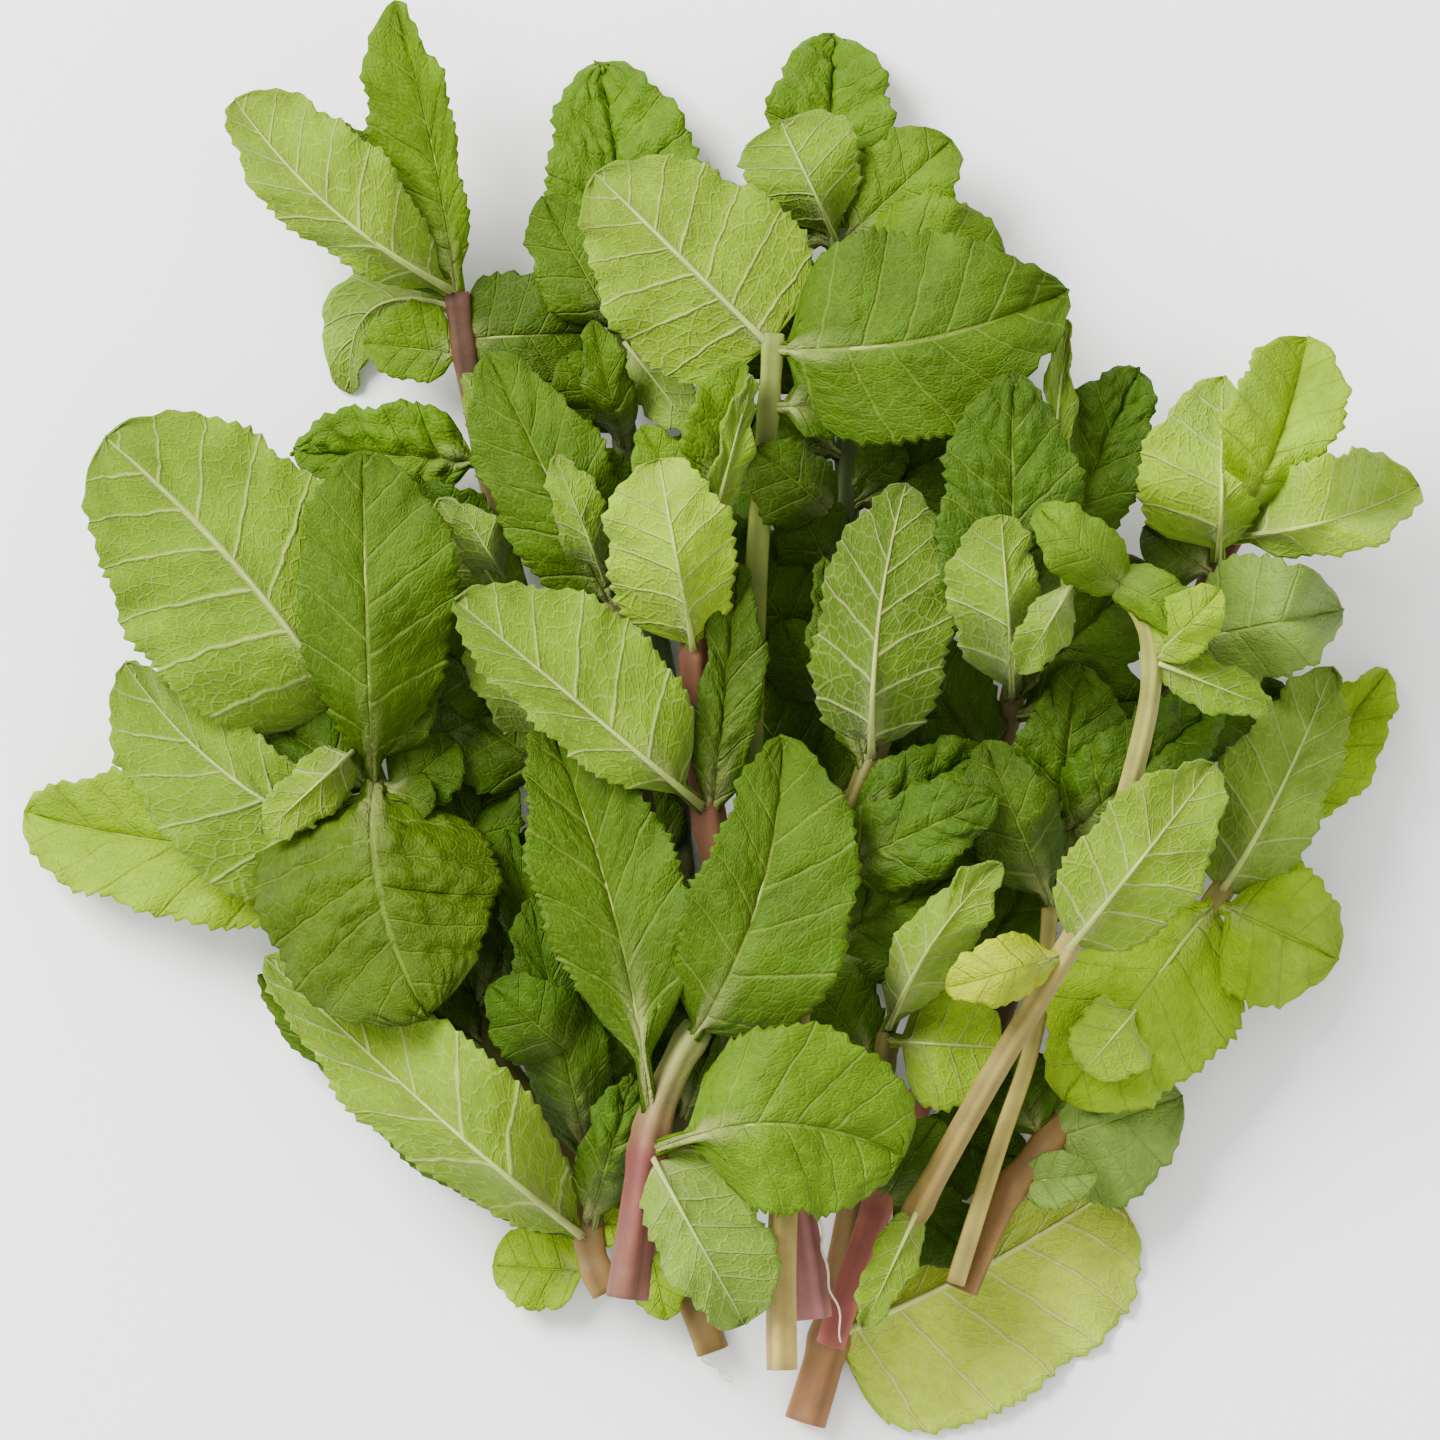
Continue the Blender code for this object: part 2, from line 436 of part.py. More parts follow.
def leaf_plan(spec, u, v):
    """Where the point u along and v across the leaf lies in plan. The side veins run
    forward, so lines of equal u sweep towards the tip as they go out."""
    share = 1 - (1 - u) ** (1 + VEIN_SWEEP * np.abs(v))
    middle_x = spec["base"][0] + spec["reach"][0] * share
    middle_y = spec["base"][1] + spec["reach"][1] * share
    bow = spec["bow"] * 4 * share * (1 - share)
    ahead = spec["reach"] / spec["length"]
    slope = spec["bow"] * 4 * (1 - 2 * share) / spec["length"]
    size = np.sqrt(1 + slope ** 2)
    side_x = (-ahead[1] - ahead[0] * slope) / size
    side_y = (ahead[0] - ahead[1] * slope) / size
    half = np.where(v > 0, spec["halves"][0], spec["halves"][1])
    out = v * np.maximum(half * outline_width(spec, share), STALK_HALF_WIDTH * (1 - share))
    x = middle_x - ahead[1] * bow + side_x * out
    y = middle_y + ahead[0] * bow + side_y * out
    return x, y


def leaf_heights(spec, u, v):
    """Height of the leaf's middle surface: straight from the midrib out to each margin."""
    stations = np.linspace(0, 1, STATIONS)
    right, middle, left = [np.interp(u, stations, line) for line in spec["lines"]]
    margin = np.where(v > 0, left, right)
    return middle + (margin - middle) * np.abs(v)


def first_shape(spec):
    """The leaf's own lie before it meets anything: the heights of its right margin, midrib
    and left margin along its length."""
    u = np.linspace(0, 1, STATIONS)
    middle = spec["base"][2] + spec["rise"] * u + spec["arch"] * 4 * u * (1 - u)
    edge = 1 - (1 - u) ** (1 + VEIN_SWEEP)
    width = outline_width(spec, edge)
    wave = spec["wave"] * np.sin(2 * math.pi * (spec["waves"] * u + spec["phase"])) * width
    turn = math.tan(math.radians(spec["twist"]))
    left = middle + spec["halves"][0] * width * (math.tan(math.radians(spec["fold"][0])) + turn)
    right = middle + spec["halves"][1] * width * (math.tan(math.radians(spec["fold"][1])) - turn)
    return [right - wave, middle, left + wave]


def lay_leaf(pile, item, spec, owner, draws):
    """Lay a leaf over the pile: it keeps its own shape and rides over what lies below."""
    spec["base"] = root_on_stem(item, spec["root"])
    spec["reach"] = on_table(spec["tip"]) - spec["base"][:2]
    spec["length"] = float(np.linalg.norm(spec["reach"]))
    spec["wave"] = draws.uniform(*WAVE_HEIGHT)
    spec["waves"] = draws.uniform(*WAVE_COUNT)
    spec["phase"] = draws.uniform(0, 1)
    spec["twist"] += draws.uniform(-TWIST, TWIST)
    spec["lines"] = first_shape(spec)
    u, v = np.meshgrid(np.linspace(0, 1, TEST_ROWS),
                       np.linspace(-TEST_EDGE, TEST_EDGE, TEST_COLUMNS), indexing="ij")
    x, y = leaf_plan(spec, u, v)
    top, holder = pile.height(x, y)
    needed = np.where(top > 0, top + LAYER_GAP, TABLE_GAP)
    near_root = u * spec["length"] < ROOT_FREE
    needed = np.where(near_root & (holder == owner), NO_FLOOR, needed)
    needed = np.where(u * spec["length"] < ROOT_FREE / 3, NO_FLOOR, needed)
    free = np.clip(np.linspace(0, 1, STATIONS) * spec["length"] / ROOT_FREE, 0, 1)
    for _ in range(SETTLING_ROUNDS):
        settle_lines(spec, needed, u, v, free)
    lift_clear(spec, needed, u, v, near_root)
    pile.lay(x, y, leaf_heights(spec, u, v) + BLADE / 2, owner)


def settle_lines(spec, needed, u, v, free):
    """One round: raise the midrib and margins where the leaf is too low, then ease them."""
    short = np.maximum(needed - leaf_heights(spec, u, v), 0)
    rows = np.linspace(0, 1, TEST_ROWS)
    stations = np.linspace(0, 1, STATIONS)
    reach = (v[0] <= -MARGIN_BAND, np.abs(v[0]) <= MIDRIB_BAND, v[0] >= MARGIN_BAND)
    raised = []
    for line, columns in zip(spec["lines"], reach):
        want = short[:, columns].max(axis=1)
        want = np.maximum(want, np.maximum(np.roll(want, 1), np.roll(want, -1)) / 2)
        raised.append(line + np.interp(stations, rows, want) * free * SETTLING_PACE)
    own = first_shape(spec)
    extra = [line - shape for line, shape in zip(raised, own)]
    eased = []
    for lift in extra:
        calm = lift.copy()
        calm[1:-1] = (lift[:-2] + 2 * lift[1:-1] + lift[2:]) / 4
        calm[-1] = (lift[-1] + lift[-2]) / 2
        calm[0] = 0
        eased.append(calm)
    right, middle, left = eased
    middle = (1 - 2 * DRAG) * middle + DRAG * (left + right)
    right = (1 - DRAG) * right + DRAG * middle
    left = (1 - DRAG) * left + DRAG * middle
    spec["lines"] = [lift + shape for lift, shape in zip((right, middle, left), own)]


def lift_clear(spec, needed, u, v, near_root):
    """Raise the whole leaf from its root until it clears all, or let it down to rest."""
    gap = (needed - leaf_heights(spec, u, v)) / np.maximum(swing(u), LEAST_SWING)
    lift = float(gap[~near_root].max())
    if lift < 0 and not spec["settle"]:
        lift = 0
    rise = lift * swing(np.linspace(0, 1, STATIONS))
    spec["lines"] = [line + rise for line in spec["lines"]]


def swing(u):
    """Share of a lift that is reached at u along the leaf: quick at the root, then level."""
    return 1 - (1 - np.clip(u / SWING, 0, 1)) ** 2


def lay_bunch():
    """Lay every stem and leaf, lowest tier first, so that none passes through another."""
    pile = Pile()
    order = []
    for owner, item in enumerate(SPRIGS):
        order.append((item["tier"], 0, owner, 0))
        for count, spec in enumerate(item["leaves"]):
            order.append((spec["tier"], 1, owner, count))
    for _, is_leaf, owner, count in sorted(order):
        item = SPRIGS[owner]
        if is_leaf:
            draws = np.random.default_rng((SEED, owner, count))
            lay_leaf(pile, item, item["leaves"][count], owner, draws)
        else:
            lay_stem(pile, item, owner)


def make_object(name, bm):
    """A mesh object in the scene from a bmesh in millimetres."""
    bmesh.ops.scale(bm, vec=(MM, MM, MM), verts=bm.verts)
    mesh = bpy.data.meshes.new(name)
    bm.to_mesh(mesh)
    bm.free()
    thing = bpy.data.objects.new(name, mesh)
    bpy.context.scene.collection.objects.link(thing)
    return thing


def stem_solid(item):
    """The square stem: one square face extruded from station to station of its line."""
    stations = np.arange(0, STEM_SAMPLES, STEM_STEP)
    bm = bmesh.new()
    bmesh.ops.create_circle(bm, cap_ends=True, segments=4, radius=1)
    bm.faces.ensure_lookup_table()
    end = bm.faces[0]
    ahead = np.gradient(item["line"], axis=0)
    place_ring(end, item, stations[0], ahead[0])
    for count, station in enumerate(stations[1:]):
        inner = end
        end = extrude_end(bm, end)
        if count:
            bmesh.ops.delete(bm, geom=[inner], context="FACES_ONLY")
        place_ring(end, item, station, ahead[station])
    bmesh.ops.recalc_face_normals(bm, faces=bm.faces)
    return make_object(item["name"], bm)


def extrude_end(bm, face):
    """Extrude the end face of a stem and return the new end."""
    made = bmesh.ops.extrude_face_region(bm, geom=[face])
    return [part for part in made["geom"] if isinstance(part, bmesh.types.BMFace)][0]


def place_ring(face, item, station, ahead):
    """Set the corners of a stem's square face across its line at a station."""
    ahead = ahead / np.linalg.norm(ahead)
    side = np.cross((0, 0, 1), ahead)
    side /= np.linalg.norm(side)
    up = np.array((0, 0, 1.0))
    half = item["half"][station]
    corners = ((-1, -1), (1, -1), (1, 1), (-1, 1))
    for vert, (across, above) in zip(face.verts, corners):
        vert.co = item["line"][station] + side * across * half + up * above * half


def margin_stations(spec):
    """Places along the margin, root to tip: notch, tooth, notch and so on, as (u, is tooth)."""
    teeth = TEETH_LARGE if spec["length"] > LARGE_LEAF else TEETH_SMALL
    start = spec["stalk"] / spec["length"]
    span = 1 - start
    places = []
    for count in range(teeth):
        places.append((start + span * even_on_margin(count / teeth), False))
        places.append((start + span * even_on_margin((count + TOOTH_REACH) / teeth), True))
    return places


def even_on_margin(share):
    """The place along the midrib whose side vein meets the margin at this share of it."""
    return 1 - (1 - share) ** (1 / (1 + VEIN_SWEEP))


def leaf_vertex(bm, spec, u, v):
    """A vertex on the underside of the blade."""
    x, y = leaf_plan(spec, np.array(u), np.array(v))
    z = leaf_heights(spec, np.array(u), np.array(v))
    return bm.verts.new((float(x), float(y), float(z)))


def leaf_solid(spec, name):
    """A toothed blade: one sheet of triangles from midrib to margin, then its thickness."""
    bm = bmesh.new()
    places = margin_stations(spec)
    notches = [u for u, tooth in places if not tooth]
    root = leaf_vertex(bm, spec, 0.0, 0.0)
    midrib = [leaf_vertex(bm, spec, u, 0.0) for u in notches]
    apex = leaf_vertex(bm, spec, 1.0, 0.0)
    midrib.append(apex)
    for side in (-1, 1):
        corner = leaf_vertex(bm, spec, 0.0, float(side))
        half = spec["halves"][0 if side > 0 else 1]
        margin = []
        for u, tooth in places:
            out = 1 + (TOOTH_DEPTH / half if tooth else 0)
            margin.append(leaf_vertex(bm, spec, u, side * out))
        margin.append(apex)
        triangles = [(root, corner, margin[0]), (root, margin[0], midrib[0])]
        for count in range(len(notches)):
            near, tooth, far = margin[2 * count:2 * count + 3]
            triangles.append((midrib[count], near, tooth))
            triangles.append((midrib[count], tooth, midrib[count + 1]))
            if far is not apex:
                triangles.append((midrib[count + 1], tooth, far))
        for triangle in triangles:
            bm.faces.new(triangle if side < 0 else triangle[::-1])
    thicken(bm, spec)
    bmesh.ops.recalc_face_normals(bm, faces=bm.faces)
    return make_object(name, bm)


def thicken(bm, spec):
    """Give the sheet its thickness straight up, more where it is steep and at the stalk."""
    bm.normal_update()
    lower = list(bm.verts)
    rises = []
    for vert in lower:
        steep = 1 / max(abs(vert.normal.z), STEEPEST)
        run = np.linalg.norm(np.array(vert.co[:2]) - spec["base"][:2])
        at_root = max(0.0, 1 - run / STALK_RUN)
        rises.append(BLADE * steep * (1 - at_root) + STALK * at_root)
    places = {tuple(vert.co): rise for vert, rise in zip(lower, rises)}
    made = bmesh.ops.extrude_face_region(bm, geom=list(bm.faces), use_keep_orig=True)
    for part in made["geom"]:
        if isinstance(part, bmesh.types.BMVert):
            part.co.z += places[tuple(part.co)] / 2
    for vert, rise in zip(lower, rises):
        vert.co.z -= rise / 2


def fuse_leaves(stem, blades):
    """Join a stem and its leaves in one solid, and take the separate leaves away."""
    group = bpy.data.collections.new(stem.name + "_leaves")
    bpy.context.scene.collection.children.link(group)
    for blade in blades:
        bpy.context.scene.collection.objects.unlink(blade)
        group.objects.link(blade)
    join = stem.modifiers.new("Join leaves", "BOOLEAN")
    join.operation = "UNION"
    join.operand_type = "COLLECTION"
    join.collection = group
    join.solver = "EXACT"
    shape = stem.evaluated_get(bpy.context.evaluated_depsgraph_get())
    joined = bpy.data.meshes.new_from_object(shape)
    stem.modifiers.clear()
    stem.data = joined
    for blade in list(group.objects):
        bpy.data.objects.remove(blade)
    bpy.data.collections.remove(group)


def drop_scraps(mesh):
    """Keep the main body and drop any sliver that joining the leaves has cut loose."""
    bm = bmesh.new()
    bm.from_mesh(mesh)
    waiting = set(bm.faces)
    bodies = []
    while waiting:
        body = []
        front = [waiting.pop()]
        while front:
            face = front.pop()
            body.append(face)
            for edge in face.edges:
                if len(edge.link_faces) == 2:
                    fresh = [near for near in edge.link_faces if near in waiting]
                    waiting.difference_update(fresh)
                    front.extend(fresh)
        bodies.append(body)
    bodies.sort(key=len)
    scraps = [face for body in bodies[:-1] for face in body]
    bmesh.ops.delete(bm, geom=scraps, context="FACES")
    bm.to_mesh(mesh)
    bm.free()


def mint_material(item):
    """Fresh leaf: a soft green with little gloss, in the sprig's own shade."""
    material = bpy.data.materials.new(item["name"] + "_green")
    material.use_nodes = True
    shader = material.node_tree.nodes["Principled BSDF"]
    code = item["colour"]
    values = [int(code[place:place + 2], 16) / 255 for place in (1, 3, 5)]
    linear = [c / 12.92 if c <= 0.04045 else ((c + 0.055) / 1.055) ** 2.4 for c in values]
    shader.inputs["Base Color"].default_value = (*linear, 1)
    shader.inputs["Roughness"].default_value = 0.6
    shader.inputs["Metallic"].default_value = 0.0
    return material


def build():
    """Clear the scene, lay the bunch and make each leafy stem."""
    for thing in list(bpy.data.objects):
        bpy.data.objects.remove(thing)
    lay_bunch()
    for item in SPRIGS:
        stem = stem_solid(item)
        blades = []
        for count, spec in enumerate(item["leaves"]):
            blades.append(leaf_solid(spec, f"{item['name']}_leaf_{count}"))
        fuse_leaves(stem, blades)
        drop_scraps(stem.data)
        stem.data.materials.clear()
        stem.data.materials.append(mint_material(item))


build()
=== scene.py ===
"""Looks for a bunch of fresh mint lying on a pale table, seen from straight above.

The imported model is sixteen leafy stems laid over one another. Each is dressed here with a
finer piece that lies where it lies: a ridged square stem and quilted, toothed, veined leaves.
Lengths are millimetres until a mesh is finished, and metres after that.
"""
import math

import bmesh
import bpy
import numpy as np
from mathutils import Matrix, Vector, noise


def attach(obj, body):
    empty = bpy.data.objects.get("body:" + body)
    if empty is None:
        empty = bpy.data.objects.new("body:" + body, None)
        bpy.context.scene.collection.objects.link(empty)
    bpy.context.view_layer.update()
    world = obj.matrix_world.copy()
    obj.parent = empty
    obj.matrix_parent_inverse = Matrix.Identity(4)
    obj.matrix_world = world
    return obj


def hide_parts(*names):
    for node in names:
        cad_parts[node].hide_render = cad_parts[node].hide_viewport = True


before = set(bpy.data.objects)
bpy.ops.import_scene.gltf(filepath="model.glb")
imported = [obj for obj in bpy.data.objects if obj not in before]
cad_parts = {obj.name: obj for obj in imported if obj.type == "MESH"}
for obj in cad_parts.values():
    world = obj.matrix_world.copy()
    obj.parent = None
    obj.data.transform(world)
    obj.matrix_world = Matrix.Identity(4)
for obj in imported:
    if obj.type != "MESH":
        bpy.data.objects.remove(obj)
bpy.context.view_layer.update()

# The table and the light
# A smooth white-painted board far wider than the bunch. The light is a studio's: a pale sky all
# round and one big soft panel high on the left, so the shadows under the leaves stay gentle.
BOARD_WHITE = "#FDFDFC"
SKY_WHITE = "#FFFFFF"
SKY_STRENGTH = 1.5
BOARD_HALF = 3.0
BOARD_ROUGHNESS = 0.7
PANEL_PLACE = (-1.0, 0.9, 1.3)
PANEL_SIZE = 0.9
PANEL_POWER = 94.0


def linear(code, alpha=1.0):
    """The linear colour of an sRGB hex code."""
    values = [int(code[place:place + 2], 16) / 255 for place in (1, 3, 5)]
    return (*[c / 12.92 if c <= 0.04045 else ((c + 0.055) / 1.055) ** 2.4 for c in values], alpha)


def new_material(name, **values):
    """A material with one Principled shader, its sockets set by name."""
    material = bpy.data.materials.new(name)
    material.use_nodes = True
    shader = material.node_tree.nodes["Principled BSDF"]
    for socket, value in values.items():
        shader.inputs[socket.replace("_", " ")].default_value = value
    return material, material.node_tree, shader


def new_object(name, bm, materials):
    """A mesh object at the origin from a bmesh that is already in metres."""
    mesh = bpy.data.meshes.new(name)
    bm.to_mesh(mesh)
    bm.free()
    for material in materials:
        mesh.materials.append(material)
    thing = bpy.data.objects.new(name, mesh)
    bpy.context.scene.collection.objects.link(thing)
    return thing


board_bm = bmesh.new()
bmesh.ops.create_grid(board_bm, x_segments=1, y_segments=1, size=BOARD_HALF)
white_board, _, _ = new_material("white_board", Base_Color=linear(BOARD_WHITE),
                                 Roughness=BOARD_ROUGHNESS)
board = new_object("board", board_bm, [white_board])

sky = bpy.data.worlds.new("pale_sky")
sky.use_nodes = True
sky.node_tree.nodes["Background"].inputs["Color"].default_value = linear(SKY_WHITE)
sky.node_tree.nodes["Background"].inputs["Strength"].default_value = SKY_STRENGTH
bpy.context.scene.world = sky

panel = bpy.data.lights.new("soft_panel", "AREA")
panel.size = PANEL_SIZE
panel.energy = PANEL_POWER
panel_stand = bpy.data.objects.new("soft_panel", panel)
panel_stand.location = PANEL_PLACE
panel_stand.rotation_euler = (-Vector(PANEL_PLACE)).to_track_quat("-Z", "Y").to_euler()
bpy.context.scene.collection.objects.link(panel_stand)

# The camera
# It looks straight down from far off, with the cut ends of the stems at the foot of the picture,
# so that the leaves lie in the picture as they lie in the drawing of the bunch.
MM = 0.001
BUNCH_CENTRE = (0.1, 0.5)
PICTURE_WIDTH = 201.6
CAMERA_HEIGHT = 3000.0
MIDDLE_HEIGHT = 24.0
SENSOR = 36.0
FURTHEST_SEEN = 10.0

camera = bpy.data.cameras.new("above")
camera.sensor_width = SENSOR
camera.lens = SENSOR * (CAMERA_HEIGHT - MIDDLE_HEIGHT) / PICTURE_WIDTH
camera.clip_end = FURTHEST_SEEN
above = bpy.data.objects.new("above", camera)
above.location = (-BUNCH_CENTRE[0] * MM, -BUNCH_CENTRE[1] * MM, CAMERA_HEIGHT * MM)
bpy.context.scene.collection.objects.link(above)
bpy.context.scene.camera = above

# The leafy stems
# Fresh spearmint: square stems with leaves in pairs. Each stem is given as it was cut and laid:
# how early it went down, its thickness, its route over the table and the leaves it carries.
SPRIGS = []


def leaf(tier, root, tip, left, right, look="shaded_deep_upper", rise=-1, arch=2, fold=(9, 9), bow=0,
         blunt=0.62, heel=0.48, stalk=3, settle=False):
    """One leaf in millimetres and degrees: how early it was laid, where it grows, where its tip
    lies, its half widths left and right of the midrib, its finish, how it rises, arches, folds
    and bows, how blunt its tip and its heel are, its bare stalk, and whether it sinks down to
    rest on what is below. A lower number is blunter."""
    return dict(tier=tier, root=root, tip=tip, halves=(left, right), look=look, rise=rise,
                arch=arch, fold=fold, bow=bow, blunt=blunt, heel=heel, stalk=stalk,
                settle=settle)


def sprig(name, tier, thick, thin, route, leaves, slot, stem, threads=()):
    """One leafy stem: thickness and colours run from the cut end to the tip. Threads are roots
    or torn skin: points in millimetres along the stem from the cut end, to its left and up."""
    SPRIGS.append(dict(name=name, tier=tier, thick=thick, thin=thin, route=route,
                       leaves=leaves, slot=slot, stem=stem, threads=threads))


# The long stem out to the left: the large pale leaf, a lime one beyond it and a big quilted leaf
# that hangs back over the stem. Brown where it was cut.
sprig("left_arm_sprig", 0, 4.6, 3.0, [
    (-1, -89, 0), (-4, -81, 0), (-12, -70, 0), (-23, -59, 1), (-33, -45, 4), (-41, -28, 8),
    (-49, -8, 12), (-52, 2, 14)
], [
    leaf(0, (-46, -17), (-98, -13), 10.5, 9.5, "lime_upper", rise=-12, arch=5, bow=2.5, blunt=0.45,
         heel=0.4, settle=True),
    leaf(1, (-47, -11), (-73, 7), 8, 9, rise=-6, arch=3),
    leaf(1, (-35, -42), (-20, -13), 7, 7.5, rise=-3, arch=3),
    leaf(1, (-24, -58), (-5, -36), 8, 8),
    leaf(3, (-44, -20), (-83.5, 8), 13, 7, "green_under", rise=2, arch=3, fold=(-14, -16), bow=4.5,
         heel=0.38),
    leaf(5, (-47, -8), (-50, 37.5), 9.2, 12.5, "green_upper", rise=2, arch=3, fold=(-14, -8),
         heel=0.75),
    leaf(4, (-51.5, 0), (-86, 39.5), 17.8, 17, "green_under", rise=6, arch=5, fold=(-10, -8),
         bow=-2, blunt=0.5, heel=0.3),
    leaf(4, (-48, -7), (-40, 9), 4, 4.5, "shaded_dark_upper", rise=2, fold=(25, 20)),
    leaf(4, (-47, -8), (-40, -12), 3.5, 4, "shaded_dark_upper", arch=1),
    leaf(6, (-52, -3), (-64, -16), 4, 3.8, "pale_under", rise=1, fold=(-12, -12), blunt=0.5,
         heel=0.35, stalk=2),
    leaf(6, (-49, -8), (-41, -41), 16.5, 17, "quilted_upper", rise=-6, arch=9, fold=(-16, -20),
         bow=-2.5, blunt=0.5, heel=0.3),
    leaf(1, (-10, -73), (-7.5, -84.5), 4.6, 4.4, "lime_upper", rise=0, arch=1, heel=0.3, stalk=1),
    leaf(1, (-40, -30), (-31, -6), 7, 6.5, rise=-2),
    leaf(2, (-47, -12), (-37, -3), 5.5, 5.5),
    leaf(1, (-32, -47), (-43, -39), 4.5, 5),
], "mint_mid", ("#6E5726", "#535421", "#55461F"), threads=[[
    (3, 1.6, 0.8), (0, 1.8, 0.4), (-2.5, 0.7, 0), (-5, -0.9, -0.4)
]])

# The stem to the top left: an upright pair of bright young leaves at a purple tip, and curled
# leaves with grey undersides further down.
sprig("top_left_sprig", 0, 4.4, 3.2, [
    (-12.5, -59, 0), (-12.8, -46, 0), (-14, -32, 0), (-18, -16, 1), (-23, -5, 3), (-31, 28, 6),
    (-36, 51, 9), (-37, 60, 10)
], [
    leaf(0, (-37, 57), (-52, 46), 3, 5.5, "grey_under", rise=-8, arch=1, fold=(-20, -30), bow=-7.5,
         settle=True),
    leaf(1, (-36, 54), (-18.6, 54.5), 9, 9, "shaded_dark_upper", rise=-2, arch=3, fold=(-12, -8),
         heel=0.25, stalk=1),
    leaf(1, (-34, 37), (-60, 37.8), 6.5, 7.5, "crinkled_bright", rise=-2, arch=3, heel=0.4),
    leaf(2, (-37, 58), (-54, 83.5), 5.5, 6, "green_upper", rise=1, fold=(14, 14)),
    leaf(2, (-35.5, 52), (-50, 53), 4.5, 6.5, "bright_upper", blunt=0.5, heel=0.3, stalk=2),
    leaf(3, (-37, 60), (-45.6, 100.8), 8.8, 3.4, "bright_upper", rise=8, arch=4, fold=(10, 42),
         bow=-1, blunt=0.6),
    leaf(4, (-37, 59), (-68, 87), 5.5, 10, "pale_under", rise=5, arch=4, fold=(-14, -9), bow=2.7,
         blunt=0.48, heel=0.6),
    leaf(1, (-28, 15), (-47, 33), 8, 7.5),
    leaf(1, (-22, -8), (-42, 5), 8, 8),
    leaf(3, (-27, 13), (-39.5, 31), 4.6, 4.6, "grey_under", rise=2, fold=(-35, 28)),
    leaf(3, (-28, 18), (-36.5, 30), 3.6, 3.6, "grey_under", rise=4, arch=1, fold=(-20, -20)),
    leaf(4, (-23, -7), (-35, 14), 4.6, 5.6, "grey_under", rise=3, fold=(-16, -16)),
    leaf(1, (-25, 2), (-45, 13), 6.5, 6.5),
], "mint_light", ("#55461F", "#4C4D1E", "#492B1E"))

# The stem that runs up the middle underneath the rest and ends in a crinkled bright leaf.
# The dark green of its middle and tip is painted shade, where it lies hidden under the rest.
sprig("top_inner_left_sprig", 0, 4.2, 3.0, [
    (-5.5, -61, 0), (-5.5, -45, 0), (-5.5, -28, 0), (-7, 0, 1), (-11, 22, 3), (-14, 45, 6),
    (-14, 56, 6)
], [
    leaf(1, (-14, 54), (-17, 92.6), 10.5, 11.5, "crinkled_bright", rise=-5, arch=4, fold=(10, 8),
         bow=-1.5, blunt=0.5, heel=0.35, settle=True),
    leaf(1, (-10, 17), (-27, 41), 8.5, 8.5, rise=-2, arch=3),
    leaf(1, (-10, 17), (6, 44), 8.5, 8.5, rise=-2, arch=3),
    leaf(1, (-5.8, -35), (10, -19), 8, 8),
    leaf(2, (-14, 53), (-25, 73.5), 6.5, 6, "green_upper", rise=1, arch=3, fold=(-10, -10),
         heel=0.4),
    leaf(2, (-14, 53), (-4, 41), 4.5, 4, "grey_under", rise=0, fold=(-12, -12)),
    leaf(3, (-13.5, 38), (-18, 56), 3.2, 3.4, "green_upper", rise=6, arch=1, fold=(20, 20)),
    leaf(2, (-12.5, 40), (-22, 51), 5, 5.5, "green_upper", rise=0),
    leaf(1, (-5.5, -56), (1, -40), 5, 5),
    leaf(1, (-5.8, -21), (-12.5, -7), 4, 4),
], "mint_mid", ("#4F4A26", "#34401A", "#3E4A1C"))

# The stem with the two largest leaves at the top, one showing its face and one its back.
sprig("top_centre_sprig", 2, 4.4, 3.0, [
    (1, -60, 1), (2, -45, 4), (4, -12, 11), (5, 20, 18), (7, 46, 24), (7.5, 54, 25)
], [
    leaf(5, (7.5, 52), (48.5, 60), 16, 13.5, "green_upper", rise=-5, arch=6, fold=(-6, -14),
         bow=-3, blunt=0.66, heel=0.33),
    leaf(6, (6.5, 51), (-17.5, 76.5), 13.5, 14.5, "pale_under", rise=-2, arch=4, fold=(-12, -8),
         blunt=0.6, heel=0.3, stalk=1),
    leaf(3, (6.8, 44.5), (19, 44), 5, 4.6, "shaded_dark_upper", rise=0),
], "mint_light", ("#4F4A26", "#5A6821", "#6A7729"))
